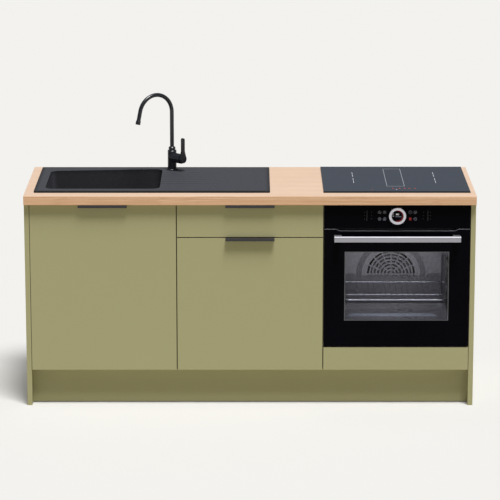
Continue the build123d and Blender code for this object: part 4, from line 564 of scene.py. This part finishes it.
# %% Oven interior
fan_low, fan_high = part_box("oven_fan")
FAN_X, FAN_Z = (fan_low.x + fan_high.x) / 2, (fan_low.z + fan_high.z) / 2
RING_INNER, RING_OUTER = 0.125, 0.147
BAFFLE_EDGE, BAFFLE_FACE = 0.003, 0.006


def fan_ring_shade_mask(tree, place):
    """One on the pressed ring round the fan, where its shade is painted, else nought."""
    spot = split(tree, place)
    across = maths(tree, "SUBTRACT", spot["X"], FAN_X)
    up = maths(tree, "SUBTRACT", spot["Z"], FAN_Z)
    squared = maths(tree, "ADD", times(tree, across, across), times(tree, up, up))
    return between(tree, maths(tree, "SQRT", squared), RING_INNER, RING_OUTER)


def baffle_shade_mask(tree, place):
    """One behind the sheet that covers the fan, where shade is painted on the enamel, and some painted shade
    on the side walls.
    """
    low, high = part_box("fan_baffle")
    spot = split(tree, place)
    half = (high.x - low.x) / 2 - BAFFLE_EDGE
    covered = maths(tree, "LESS_THAN", distance_along(tree, spot["X"], FAN_X), half)
    behind = times(tree, covered, maths(tree, "GREATER_THAN", spot["Y"], low.y + BAFFLE_FACE))
    beside = maths(tree, "GREATER_THAN", maths(tree, "ABSOLUTE", split_normal(tree)["X"]), 0.7)
    return maths(tree, "MAXIMUM", behind, times(tree, beside, 0.25))


STRIP_FRONT, STRIP_BACK = 0.271, 0.319
STRIP_HALF, STRIP_SLANT = 0.195, 0.028


def tray_light_strip_mask(tree, place):
    """One on the pale strip of painted light across the tray's floor, which has slanted ends."""
    front_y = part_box("sink_door")[0].y
    spot = split(tree, place)
    share = map_range(tree, spot["Y"], front_y + STRIP_FRONT, front_y + STRIP_BACK)
    half = maths(tree, "SUBTRACT", STRIP_HALF, times(tree, share, STRIP_SLANT))
    narrow = maths(tree, "LESS_THAN", distance_along(tree, spot["X"], FAN_X), half)
    return times(tree, between(tree, share, 0.0, 1.0), narrow)


def make_enamel(name, dark, pale, fleck_share, where=None, other=None):
    """Enamel of one tone, with another tone where a mask is one."""
    made, tree, shader, place = start_material(name)
    cells = add_node(tree, "ShaderNodeTexVoronoi", {"Vector": place, "Scale": 420.0})
    fleck = map_range(tree, cells.outputs["Distance"], 0.16, 0.06)
    hands = use_group(tree, HANDLING, place, Scale=8.0)["Mask"]
    body = mix_tone(tree, hands, dark, pale)
    if where is not None:
        body = mix_tone(tree, where(tree, place), body, other)
    edges = use_group(tree, EDGES, place, Radius=0.0012)
    flecked = mix_tone(tree, times(tree, fleck, fleck_share), body, tone(196, 196, 204))
    set_shader(
        tree, shader, Base_Color=flecked, Roughness=map_range(tree, hands, 0.0, 1.0, 0.24, 0.4),
        Normal=edges["Normal"],
    )
    return made


# the darker enamel tone is painted shade behind the fan's sheet and on the side walls
enamel = make_enamel(
    "oven_enamel", tone(128, 127, 135), tone(142, 141, 149), 0.4, baffle_shade_mask, tone(104, 103, 109),
)
# the darker tone on the pressed ring is painted shade
baffle_enamel = make_enamel(
    "baffle_enamel", tone(134, 133, 141), tone(146, 145, 153), 0.2, fan_ring_shade_mask, tone(104, 103, 110),
)
tray_enamel = make_enamel(
    "tray_enamel", tone(112, 112, 120), tone(120, 120, 128), 0.2, tray_light_strip_mask, tone(168, 176, 195),
)
chrome_wire = coated("chrome_wire", tone(168, 170, 182), (0.16, 0.28), grain=300.0, drift=0.05, metal=1.0)
heat_dulled = coated("heat_dulled", tone(84, 76, 72), (0.4, 0.6), grain=200.0, drift=0.15, metal=0.8)
fan_sheet = coated("fan_sheet", tone(112, 110, 112), (0.4, 0.55), grain=200.0, drift=0.1, metal=1.0)
lamp_glass = coated(
    "lamp_glass", tone(236, 228, 208), (0.2, 0.3), grain=400.0, drift=0.03,
    Emission_Color=(1.0, 0.95, 0.88, 1.0), Emission_Strength=12.0,
)
dress(enamel, "oven_cavity", "oven_face_frame")
dress(baffle_enamel, "fan_baffle")
dress(tray_enamel, "baking_tray")
dress(chrome_wire, "wire_rack")
dress(heat_dulled, "heating_elements")
dress(fan_sheet, "oven_fan", "shelf_ladders")
dress(lamp_glass, "oven_lamp")

# %% [markdown]
# Marks printed on glass are thin flat shapes. On the real hob and control panel a screen print lays
# ink a few hundredths of a millimetre thick. A pen of four small functions draws outlines in
# millimetres on a flat sheet: a bar, an arc, a ring and a frame. The sheet's own plane then carries
# them into the frame, so one drawing works on the hob, which faces up, and on the oven, which faces
# the room.

# %% A pen for printed marks
MM = 0.001
INK_T = 0.06 * MM


def way(angle):
    """Unit vector at an angle in degrees."""
    return Vector((math.cos(math.radians(angle)), math.sin(math.radians(angle))))


def bar(x0, y0, x1, y1, width):
    """Outline of a straight stroke between two points."""
    along = Vector((x1 - x0, y1 - y0)).normalized() * (width / 2)
    side = Vector((-along.y, along.x))
    start, end = Vector((x0, y0)), Vector((x1, y1))
    return [start + side, start - side, end - side, end + side]


def arc(x, y, radius, width, start, end):
    """Outline of a curved stroke round a centre, from one angle to another in degrees."""
    steps = max(6, int(abs(end - start) / 10))
    units = [way(start + (end - start) * i / steps) for i in range(steps + 1)]
    centre = Vector((x, y))
    outer = [centre + unit * (radius + width / 2) for unit in units]
    inner = [centre + unit * (radius - width / 2) for unit in units]
    return outer + inner[::-1]


def ring(x, y, radius, width):
    return [arc(x, y, radius, width, 0, 180), arc(x, y, radius, width, 180, 360)]


def frame_lines(x0, y0, x1, y1, width, side_width):
    level = [bar(x0, y, x1, y, width) for y in (y0, y1)]
    upright = [bar(x, y0, x, y1, side_width) for x in (x0, x1)]
    return level + upright


def add_object(name, data):
    made = bpy.data.objects.new(name, data)
    bpy.context.scene.collection.objects.link(made)
    return made


def print_marks(name, outlines, origin, right, up, finish, body):
    """Turns outlines into thin closed plates that lie on the plane of right and up."""
    normal = right.cross(up)
    sheet = bmesh.new()
    for outline in outlines:
        foot = [origin + (right * p.x + up * p.y) * MM for p in outline]
        low = [sheet.verts.new(p) for p in foot]
        high = [sheet.verts.new(p + normal * INK_T) for p in foot]
        sheet.faces.new(high)
        sheet.faces.new(low[::-1])
        for i in range(len(foot)):
            j = (i + 1) % len(foot)
            sheet.faces.new((low[i], low[j], high[j], high[i]))
    bmesh.ops.recalc_face_normals(sheet, faces=sheet.faces)
    mesh = bpy.data.meshes.new(name)
    sheet.to_mesh(mesh)
    sheet.free()
    mesh.materials.append(finish)
    piece = add_object(name, mesh)
    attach(piece, body)
    print(name, "outlines:", len(outlines))


# %% [markdown]
# Printed ink is dull and a little uneven. Lit signs are the same ink over a light, so they also glow.

# %% Inks
def ink(name, colour, drift=0.08, **plain):
    return coated(name, colour, (0.4, 0.5), grain=2500.0, drift=drift, height=0.000001, **plain)


pale_ink = ink("pale_ink", tone(150, 153, 160))
bright_ink = ink("bright_ink", tone(188, 192, 199))
dim_ink = ink("dim_ink", tone(96, 95, 102))
red_ink = ink("red_ink", tone(206, 58, 66))
sign_ink = ink("sign_ink", tone(150, 157, 182))
red_lit = ink("red_lit", tone(120, 8, 14), Emission_Color=tone(128, 6, 12), Emission_Strength=0.5)
white_lit = ink(
    "white_lit", tone(226, 226, 230), drift=0.05, Emission_Color=tone(226, 226, 232), Emission_Strength=0.4,
)
INKS = (pale_ink, bright_ink, dim_ink, red_ink, sign_ink, red_lit, white_lit)
print("inks:", [finish.name for finish in INKS])

# %% [markdown]
# The hob's print, in millimetres from the middle of its front edge: a long frame that marks the
# bridged zone, a dashed line in the middle of each side and a row of touch points near the front.

# %% Hob print
FRAME_HALF = 35.75
FRAME_FRONT, FRAME_BACK = 110.0, 469.0
SIDE_LINE = 170.0
SIDE_DASHES = ((177.0, 223.0), (230.0, 274.0), (304.0, 348.0), (355.0, 397.0))
TOUCH_ROW = 67.0
TOUCH_STEP = 21.0
TOUCH_STEPS = (-0.6, 0.65, 1.65, 2.6, 3.65)
TOUCH_FRONT, TOUCH_SIDE = 47.0, 99.0
LEVEL_STROKE, UPRIGHT_STROKE, DASH_STROKE = 3.6, 2.2, 2.3
hob_low, hob_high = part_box("hob_glass")
hob_front = Vector(((hob_low.x + hob_high.x) / 2, hob_low.y, hob_high.z))
ACROSS, BACK, UP = Vector((1, 0, 0)), Vector((0, 1, 0)), Vector((0, 0, 1))


def on_hob(name, outlines, finish):
    print_marks(name, outlines, hob_front, ACROSS, BACK, finish, "cabinet")


on_hob("hob_frame_print", frame_lines(
    -FRAME_HALF, FRAME_FRONT, FRAME_HALF, FRAME_BACK, LEVEL_STROKE, UPRIGHT_STROKE,
), pale_ink)
on_hob("hob_side_print", [
    bar(x, start, x, end, DASH_STROKE) for x in (-SIDE_LINE, SIDE_LINE) for start, end in SIDE_DASHES
], bright_ink)

# %% [markdown]
# Through the oven's window only the upper half of the fan's slots shows. A plain darker sheet of
# painted shade stands in front of the lower half, with two notches where the pressed ring runs down
# behind it. It is one flat outline, so the helper that lays down print can make it too, a little in
# front of the ring.

# %% Sheet of painted shade in the oven
SHADE_SHEET_GAP = 0.6 * MM
SHADE_SHEET_HALF = ((122, -5), (139, -24), (157, 4), (213, 4), (213, -149))
shade_sheet_outline = [Vector((-x, z)) for x, z in SHADE_SHEET_HALF[::-1]] + [Vector(p) for p in SHADE_SHEET_HALF]
# the sheet's darker enamel is painted shade over the lower half of the fan
shade_sheet_enamel = make_enamel("shade_sheet_enamel", tone(104, 103, 110), tone(112, 111, 118), 0.1)
shade_sheet_place = Vector((FAN_X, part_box("fan_baffle")[0].y - SHADE_SHEET_GAP, FAN_Z))
print_marks(
    "oven_shade_sheet", [shade_sheet_outline[::-1]], shade_sheet_place, ACROSS, UP, shade_sheet_enamel, "cabinet",
)

# %% [markdown]
# Small things that repeat are grown by Geometry Nodes: a bare mesh holds one point for each, and a
# tree puts the same small form on every point. The tree's inputs have names, so one tree serves
# several rows. Once grown, the row is kept as a plain mesh, because only plain meshes ride on a body.

# %% Rows grown on points
GEOMETRY = ("Geometry", "NodeSocketGeometry")


def new_rows_tree(name, inputs):
    return new_group(name, [(*GEOMETRY, None), *inputs], [GEOMETRY], "GeometryNodeTree")


def place_on_points(tree, given, form, result, spin=None):
    """Last steps of every row: instances on the points, one mesh, one finish."""
    placed = add_node(tree, "GeometryNodeInstanceOnPoints", {
        "Points": given["Geometry"], "Instance": form, "Rotation": given["Turn"],
    }).outputs["Instances"]
    if spin is not None:
        placed = add_node(tree, "GeometryNodeRotateInstances", {
            "Instances": placed, "Rotation": spin,
        }).outputs["Instances"]
    solid = add_node(tree, "GeometryNodeRealizeInstances", {"Geometry": placed}).outputs["Geometry"]
    finished = add_node(tree, "GeometryNodeSetMaterial", {"Geometry": solid, "Material": given["Finish"]})
    tree.links.new(finished.outputs["Geometry"], result["Geometry"])


def grow(name, tree, places, body, settings):
    """Grows a row on its points and keeps it as a plain mesh."""
    points = bpy.data.meshes.new(name + "_points")
    points.from_pydata(places, [], [])
    piece = add_object(name, points)
    growth = piece.modifiers.new("growth", "NODES")
    growth.node_group = tree
    for socket in tree.interface.items_tree:
        if socket.in_out == "INPUT" and socket.name in settings:
            growth[socket.identifier] = settings[socket.name]
    grown = bpy.data.meshes.new_from_object(piece.evaluated_get(bpy.context.evaluated_depsgraph_get()))
    piece.modifiers.remove(growth)
    piece.data = grown
    bpy.data.meshes.remove(points)
    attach(piece, body)
    print(name, "on", len(places), "points:", len(grown.polygons), "faces")


ROTATION = "NodeSocketVector"
TURN_UP = (0.0, 0.0, 0.0)
TURN_BACK = (math.radians(-90), 0.0, 0.0)
TURN_FRONT = (math.radians(90), 0.0, 0.0)


def make_dots_tree():
    """Flat round dot on every point."""
    tree, given, result = new_rows_tree("dots_on_points", [
        ("Radius", FLOAT, 0.001), ("Thickness", FLOAT, INK_T), ("Turn", ROTATION, TURN_UP),
        ("Finish", "NodeSocketMaterial", None),
    ])
    disc = add_node(tree, "GeometryNodeMeshCone", {
        "Vertices": 20, "Radius Top": times(tree, given["Radius"], 0.97),
        "Radius Bottom": given["Radius"], "Depth": given["Thickness"],
    })
    place_on_points(tree, given, disc.outputs["Mesh"], result)
    return tree


DOTS = make_dots_tree()


def dot_on_hob(name, spots, radius, finish):
    places = [hob_front + (ACROSS * x + BACK * y) * MM for x, y in spots]
    grow(name, DOTS, places, "cabinet", {"Radius": radius * MM, "Finish": finish})


dot_on_hob("hob_touch_dots", [(offset * TOUCH_STEP, TOUCH_ROW) for offset in TOUCH_STEPS], 4.0, red_ink)
dot_on_hob("hob_side_dot", [(-TOUCH_SIDE, TOUCH_FRONT)], 2.4, red_ink)
dot_on_hob("hob_middle_dot", [(0.0, TOUCH_FRONT)], 3.6, bright_ink)

# %% [markdown]
# The control panel has seven touch signs round the ring, and on each side two columns of dots and a
# thin upright line. Each sign is a plain one that any oven could have: light, clock, fan, menu, lock,
# on and back. An eighth touch field is lit red.

# %% Signs on the control panel
SIGN_STROKE = 0.7


def sign_light(x, y):
    rays = [way(turn) for turn in range(0, 360, 60)]
    return ring(x, y, 1.6, SIGN_STROKE) + [
        bar(x + 2.5 * c, y + 2.5 * s, x + 3.6 * c, y + 3.6 * s, SIGN_STROKE) for c, s in rays
    ]


def sign_clock(x, y):
    return [bar(x, y, x, y + 3.2, SIGN_STROKE), bar(x, y, x + 2.4, y, SIGN_STROKE)]


def sign_fan(x, y):
    blades = []
    for turn in (90, 210, 330):
        c, s = way(turn)
        blades.append(arc(x + 1.5 * c, y + 1.5 * s, 1.2, SIGN_STROKE, turn - 90, turn + 90))
    return ring(x, y, 0.8, SIGN_STROKE) + blades


def sign_menu(x, y):
    return [bar(x - 3, y + rise, x + 3, y + rise, SIGN_STROKE) for rise in (-2.2, 0, 2.2)]


def sign_lock(x, y):
    return frame_lines(x - 2.4, y - 2.8, x + 2.4, y + 0.6, SIGN_STROKE, SIGN_STROKE) + [
        arc(x, y + 0.6, 1.6, SIGN_STROKE, 0, 180),
    ]


def sign_on(x, y):
    return [arc(x, y, 2.8, SIGN_STROKE, 125, 415), bar(x, y + 0.6, x, y + 3.6, SIGN_STROKE)]


def sign_back(x, y):
    return [bar(x - 3, y, x + 3, y, SIGN_STROKE), bar(x - 3, y, x - 0.8, y + 2.2, SIGN_STROKE),
            bar(x - 3, y, x - 0.8, y - 2.2, SIGN_STROKE)]


SIGN_SCALE = 1.15
SIGN_RING = 6.2


def touch_sign(draw, x, y):
    """A sign in its ring, drawn about nought and moved to its place."""
    middle = Vector((x, y))
    strokes = [[middle + p * SIGN_SCALE for p in outline] for outline in draw(0.0, 0.0)]
    return strokes + ring(x, y, SIGN_RING, SIGN_STROKE)


def lit_field(x, y):
    return [bar(x - 5.0, y + rise, x + 5.0, y + rise, 3.0) for rise in (-3.8, 0.0, 3.8)]


SIGN_NEAR, SIGN_FAR, SIGN_ROW = 52.3, 72.6, 13.8
LINE_SIDE, LINE_HALF = 124.0, 21.0
DOT_COLUMNS = (105.0, 134.0)
ring_low, ring_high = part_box("control_ring")
panel_centre = (ring_low + ring_high) / 2
panel_centre.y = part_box("control_panel")[0].y


def on_panel(name, outlines, finish, centre=panel_centre):
    print_marks(name, outlines, centre, ACROSS, UP, finish, "cabinet")


left_signs = touch_sign(sign_on, -SIGN_FAR, SIGN_ROW) + touch_sign(sign_light, -SIGN_NEAR, SIGN_ROW)
left_signs += touch_sign(sign_menu, -SIGN_FAR, -SIGN_ROW) + touch_sign(sign_fan, -SIGN_NEAR, -SIGN_ROW)
right_signs = touch_sign(sign_clock, SIGN_NEAR, SIGN_ROW) + touch_sign(sign_lock, SIGN_FAR, SIGN_ROW)
right_signs += touch_sign(sign_back, SIGN_FAR, -SIGN_ROW)
on_panel("panel_signs", left_signs + right_signs, sign_ink)
on_panel("panel_red_sign", lit_field(SIGN_NEAR, -SIGN_ROW), red_lit)
on_panel("panel_lines", [bar(x, -LINE_HALF, x, LINE_HALF, 0.8) for x in (-LINE_SIDE, LINE_SIDE)], dim_ink)
panel_dots = [panel_centre + (ACROSS * (s * x) + UP * (row * SIGN_ROW)) * MM
              for s in (-1, 1) for x in DOT_COLUMNS for row in (-1, 0, 1)]
grow("panel_dots", DOTS, panel_dots, "cabinet", {
    "Radius": 1.0 * MM, "Turn": TURN_FRONT, "Finish": dim_ink,
})

# %% [markdown]
# The round display sits inside the setting ring. It shows a small set temperature beside a bracket, a
# line of short bars below it, and a red arc round the right that grows with the heat, outside fine
# scale marks. The figures are seven-part ones, made of bars, as on any oven.

# %% Display marks
SEGMENTS = {"0": "abcdef", "1": "bc", "8": "abcdefg"}
DIGIT_WIDTH, DIGIT_HALF, DIGIT_STROKE = 3.6, 2.4, 0.8
DIGIT_STEP = 5.6


def digit(value, x, y):
    w, h = DIGIT_WIDTH / 2, DIGIT_HALF
    parts = {
        "a": (-w, h, w, h), "b": (w, h, w, 0), "c": (w, 0, w, -h), "d": (-w, -h, w, -h),
        "e": (-w, 0, -w, -h), "f": (-w, h, -w, 0), "g": (-w, 0, w, 0),
    }
    strokes = [parts[segment] for segment in SEGMENTS[value]]
    return [bar(x + x0, y + y0, x + x1, y + y1, DIGIT_STROKE) for x0, y0, x1, y1 in strokes]


display_centre = panel_centre.copy()
display_centre.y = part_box("control_display")[0].y
FIGURES_Y, FIGURES_BACK = 7.0, 1.4
BRACKET_LEFT, BRACKET_RIGHT, BRACKET_LOW, BRACKET_HIGH = -19.0, -14.5, -1.5, 10.5
LINE_Y = -2.6
LINE_LONG, LINE_THICK = 1.7, 2.6
SCALE_INNER, SCALE_OUTER, SCALE_STROKE = 17.2, 18.6, 0.5
ARC_RADIUS, ARC_WIDTH, ARC_START, ARC_END = 21.9, 2.4, 90, -105
figures = []
for i, value in enumerate("180"):
    figures += digit(value, (i - FIGURES_BACK) * DIGIT_STEP, FIGURES_Y)
figures.append(bar(BRACKET_LEFT, BRACKET_HIGH, BRACKET_LEFT, BRACKET_LOW, DIGIT_STROKE))
for level in (BRACKET_HIGH, BRACKET_LOW):
    figures.append(bar(BRACKET_LEFT, level, BRACKET_RIGHT, level, DIGIT_STROKE))
lower_line = [bar(x, LINE_Y, x + LINE_LONG, LINE_Y, LINE_THICK) for x in range(-8, 15, 3)]
scale_marks = [way(turn) for turn in range(-60, 91, 15)]
on_panel("display_figures", figures, white_lit, display_centre)
on_panel("display_line", lower_line, sign_ink, display_centre)
on_panel("display_scale", [
    bar(*(SCALE_INNER * mark), *(SCALE_OUTER * mark), SCALE_STROKE) for mark in scale_marks
], dim_ink, display_centre)
on_panel("display_arc", [arc(0, 0, ARC_RADIUS, ARC_WIDTH, ARC_START, ARC_END)], red_lit, display_centre)

# %% [markdown]
# Screws hold the pulls, the hinge cups, the oven and its back cover. A head is a low cone with a
# cross recess cut by a Boolean. No fitter lines them up, so each one is turned by a random angle
# from a fixed seed. Sheet-metal screws stand proud, and those in the pulls are countersunk.

# %% Screws
def make_screws_tree():
    """Cross-recess screw head on every point, each turned by its own angle."""
    tree, given, result = new_rows_tree("screws_on_points", [
        ("Radius", FLOAT, 0.0035), ("Height", FLOAT, 0.0016), ("Turn", ROTATION, TURN_UP),
        ("Seed", "NodeSocketInt", 7), ("Finish", "NodeSocketMaterial", None),
    ])
    head = add_node(tree, "GeometryNodeMeshCone", {
        "Vertices": 24, "Radius Top": times(tree, given["Radius"], 0.72),
        "Radius Bottom": given["Radius"], "Depth": given["Height"],
    })
    long = times(tree, given["Radius"], 1.1)
    slim = times(tree, given["Radius"], 0.26)
    deep = times(tree, given["Height"], 1.2)
    arms = add_node(tree, "GeometryNodeJoinGeometry")
    for sides in ((long, slim), (slim, long)):
        size = add_node(tree, "ShaderNodeCombineXYZ", {"X": sides[0], "Y": sides[1], "Z": deep}).outputs[0]
        lift = add_node(tree, "ShaderNodeCombineXYZ", {"Z": given["Height"]}).outputs[0]
        arm = add_node(tree, "GeometryNodeMeshCube", {"Size": size}).outputs["Mesh"]
        moved = add_node(tree, "GeometryNodeTransform", {"Geometry": arm, "Translation": lift})
        tree.links.new(moved.outputs["Geometry"], arms.inputs["Geometry"])
    cut = add_node(tree, "GeometryNodeMeshBoolean", {
        "Mesh 1": head.outputs["Mesh"], "Mesh 2": arms.outputs["Geometry"], "Self Intersection": True,
    }, operation="DIFFERENCE", solver="EXACT")
    angle = add_node(tree, "FunctionNodeRandomValue", {
        2: 0.0, 3: math.tau, "Seed": given["Seed"],
    }, data_type="FLOAT")
    spin = add_node(tree, "ShaderNodeCombineXYZ", {"Z": angle.outputs[1]}).outputs[0]
    place_on_points(tree, given, cut.outputs["Mesh"], result, spin)
    return tree


SCREWS = make_screws_tree()
PULL_SCREW_SIDE, PULL_SCREW_DROP = 80 * MM, 12 * MM


def screw_pull(front, body):
    """Countersunk screws along the flange of one pull."""
    low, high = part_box(front)
    middle = (low.x + high.x) / 2
    places = [(middle + side * PULL_SCREW_SIDE, high.y, high.z - PULL_SCREW_DROP) for side in (-1, 0, 1)]
    grow(front + "_screws", SCREWS, places, body, {
        "Radius": 3.2 * MM, "Height": 0.35 * MM, "Turn": TURN_BACK, "Finish": graphite,
    })


screw_pull("sink_door_pull", "sink_door_leaf")
screw_pull("upper_drawer_pull", "upper_drawer")
screw_pull("lower_drawer_pull", "lower_drawer")

CUP_HALF, CUP_SCREW_SIDE, CUP_SCREW_RISE = 26 * MM, 9.5 * MM, 21 * MM
cups_low, cups_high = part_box("hinge_cups")
cup_x = (cups_low.x + cups_high.x) / 2 + CUP_SCREW_SIDE
cup_screws = [(cup_x, cups_high.y, z + rise) for z in (cups_low.z + CUP_HALF, cups_high.z - CUP_HALF)
              for rise in (-CUP_SCREW_RISE, CUP_SCREW_RISE)]
grow("hinge_cup_screws", SCREWS, cup_screws, "sink_door_leaf", {
    "Radius": 3.4 * MM, "Height": 1.3 * MM, "Turn": TURN_BACK, "Finish": zinc,
})

FACE_SCREW_SIDE, FACE_SCREW_RISE, FACE_SCREW_DROP = 10 * MM, 75 * MM, 130 * MM
face_low, face_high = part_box("oven_face_frame")
face_screws = [(x, face_low.y, z) for x in (face_low.x + FACE_SCREW_SIDE, face_high.x - FACE_SCREW_SIDE)
               for z in (face_low.z + FACE_SCREW_RISE, face_high.z - FACE_SCREW_DROP)]
grow("oven_face_screws", SCREWS, face_screws, "cabinet", {
    "Radius": 4.2 * MM, "Height": 2.0 * MM, "Turn": TURN_FRONT, "Finish": zinc,
})

# along the edge of the back cover, so the middle of the three by three is left out
COVER_INSET = 14 * MM
cover_low, cover_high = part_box("oven_covers")
cover_x = (cover_low.x + COVER_INSET, (cover_low.x + cover_high.x) / 2, cover_high.x - COVER_INSET)
cover_z = (cover_low.z + COVER_INSET, (cover_low.z + cover_high.z) / 2, cover_high.z - COVER_INSET)
cover_screws = [(x, cover_high.y, z) for z in cover_z for x in cover_x if (x, z) != (cover_x[1], cover_z[1])]
grow("oven_cover_screws", SCREWS, cover_screws, "cabinet", {
    "Radius": 4.0 * MM, "Height": 2.0 * MM, "Turn": TURN_BACK, "Finish": zinc,
})

# %% [markdown]
# Soft clear domes on the backs of the fronts keep them from knocking on the carcass. They fill most
# of the 2 mm gap behind the fronts, near the corners, on the door only away from its hinges.

# %% Door buffers
def make_buffers_tree():
    """Domed buffer of two stacked cones on every point."""
    tree, given, result = new_rows_tree("buffers_on_points", [
        ("Radius", FLOAT, 0.005), ("Height", FLOAT, 0.0017), ("Turn", ROTATION, TURN_UP),
        ("Finish", "NodeSocketMaterial", None),
    ])
    dome = add_node(tree, "GeometryNodeJoinGeometry")
    for share_low, share_high, start in ((1.0, 0.86, 0.0), (0.86, 0.45, 0.5)):
        step = add_node(tree, "GeometryNodeMeshCone", {
            "Vertices": 20, "Radius Bottom": times(tree, given["Radius"], share_low),
            "Radius Top": times(tree, given["Radius"], share_high),
            "Depth": times(tree, given["Height"], 0.5),
        }).outputs["Mesh"]
        rise = times(tree, given["Height"], start)
        lift = add_node(tree, "ShaderNodeCombineXYZ", {"Z": rise}).outputs[0]
        moved = add_node(tree, "GeometryNodeTransform", {"Geometry": step, "Translation": lift})
        tree.links.new(moved.outputs["Geometry"], dome.inputs["Geometry"])
    place_on_points(tree, given, dome.outputs["Geometry"], result)
    return tree


BUFFERS = make_buffers_tree()
buffer_gel = coated("buffer_gel", tone(196, 198, 196), (0.2, 0.3), grain=400.0, drift=0.03, Alpha=0.75)
BUFFER_SIDE, BUFFER_RISE = 9 * MM, 40 * MM


def buffer_front(front, body, sides):
    low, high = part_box(front)
    places = [(low.x + BUFFER_SIDE if side < 0 else high.x - BUFFER_SIDE, high.y, z)
              for side in sides for z in (low.z + BUFFER_RISE, high.z - BUFFER_RISE)]
    grow(front + "_buffers", BUFFERS, places, body, {"Turn": TURN_BACK, "Finish": buffer_gel})


buffer_front("sink_door", "sink_door_leaf", (1,))
buffer_front("upper_drawer_front", "upper_drawer", (-1, 1))
buffer_front("lower_drawer_front", "lower_drawer", (-1, 1))

# %% [markdown]
# The floor is one pale plane without texture. It runs far out, so the camera never
# sees its end. A floor this pale would throw too much cold light up at the fronts, so light that
# bounces off it meets a darker, warmer tone than the one that is seen. Light Path tells the two apart.

# %% Floor
FLOOR_SEEN = tone(200, 199, 196)
FLOOR_BOUNCE = tone(177, 170, 143)
FLOOR_REACH = 40.0


def make_floor():
    mesh = bpy.data.meshes.new("floor")
    corners = [(x * FLOOR_REACH, y * FLOOR_REACH, 0) for x, y in ((-1, -1), (1, -1), (1, 1), (-1, 1))]
    mesh.from_pydata(corners, [], [(0, 1, 2, 3)])
    finish = bpy.data.materials.new("pale_floor")
    finish.use_nodes = True
    tree = finish.node_tree
    shader = tree.nodes["Principled BSDF"]
    bounced = add_node(tree, "ShaderNodeLightPath").outputs["Is Diffuse Ray"]
    both = mix_tone(tree, bounced, FLOOR_SEEN, FLOOR_BOUNCE)
    set_shader(tree, shader, Base_Color=both, Roughness=0.9, Specular_IOR_Level=0.0)
    mesh.materials.append(finish)
    return add_object("floor", mesh)


floor = make_floor()

# %% [markdown]
# Soft studio light: a weak even world, and one steep broad sun that throws the shade of the worktop
# and the pulls down the fronts. A sun lights the floor evenly everywhere. The oven has two panels of
# its own, one under the roof and one inside the door, because little light gets in through the glass.
#
# The camera looks down at the fronts by some thirteen degrees. Uprights then lean in a little towards
# the floor. A lens that is slid would keep them upright, but a slide this large would push the part out
# of the picture in views from other sides. A long lens from further off keeps the lean small instead.

# %% Lights and camera
WORLD_TONE, WORLD_STRENGTH = (0.98, 0.99, 1.0, 1.0), 0.19
world = bpy.data.worlds.new("studio")
bpy.context.scene.world = world
world.use_nodes = True
fill(world.node_tree, world.node_tree.nodes["Background"], {"Color": WORLD_TONE, "Strength": WORLD_STRENGTH})


def add_sun(name, towards, strength, spread):
    lamp = bpy.data.lights.new(name, "SUN")
    lamp.energy = strength
    lamp.angle = math.radians(spread)
    add_object(name, lamp).rotation_euler = Vector(towards).to_track_quat("Z", "Y").to_euler()


add_sun("key_light", towards=(0.12, -0.28, 0.94), strength=4.5, spread=20.0)


def add_panel_light(name, place, tilt, width, length, energy):
    lamp = bpy.data.lights.new(name, "AREA")
    lamp.shape = "RECTANGLE"
    lamp.size = width
    lamp.size_y = length
    lamp.energy = energy
    holder = add_object(name, lamp)
    holder.location = place
    holder.rotation_euler = (math.radians(tilt), 0.0, 0.0)


PANEL_GAP, PANEL_SHARE = 0.02, 0.8
low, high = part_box("oven_cavity")
middle = (low + high) / 2
room = (high - low) * PANEL_SHARE
under_roof = (middle.x, middle.y, high.z - PANEL_GAP)
inside_door = (middle.x, low.y + PANEL_GAP, middle.z)
add_panel_light("oven_light", under_roof, tilt=0.0, width=room.x, length=room.y * 0.6, energy=1.2)
add_panel_light("oven_fill", inside_door, tilt=90.0, width=room.x, length=room.z, energy=0.7)

FLOOR_TO_LENS = 3.1281
FRONT_TO_LENS = 10.5771
LOOK_DOWN = 13.138
LENS = 191.6
camera = bpy.data.cameras.new("camera")
camera.sensor_width = 36.0
camera.lens = LENS
camera.clip_end = 200.0
viewer = add_object("camera", camera)
viewer.location = (0.0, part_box("sink_door")[0].y - FRONT_TO_LENS, FLOOR_TO_LENS)
viewer.rotation_euler = (math.radians(90.0 - LOOK_DOWN), 0.0, 0.0)
bpy.context.scene.camera = viewer
bpy.context.scene.view_settings.view_transform = "Standard"
print("camera lens", round(camera.lens, 1), "mm")
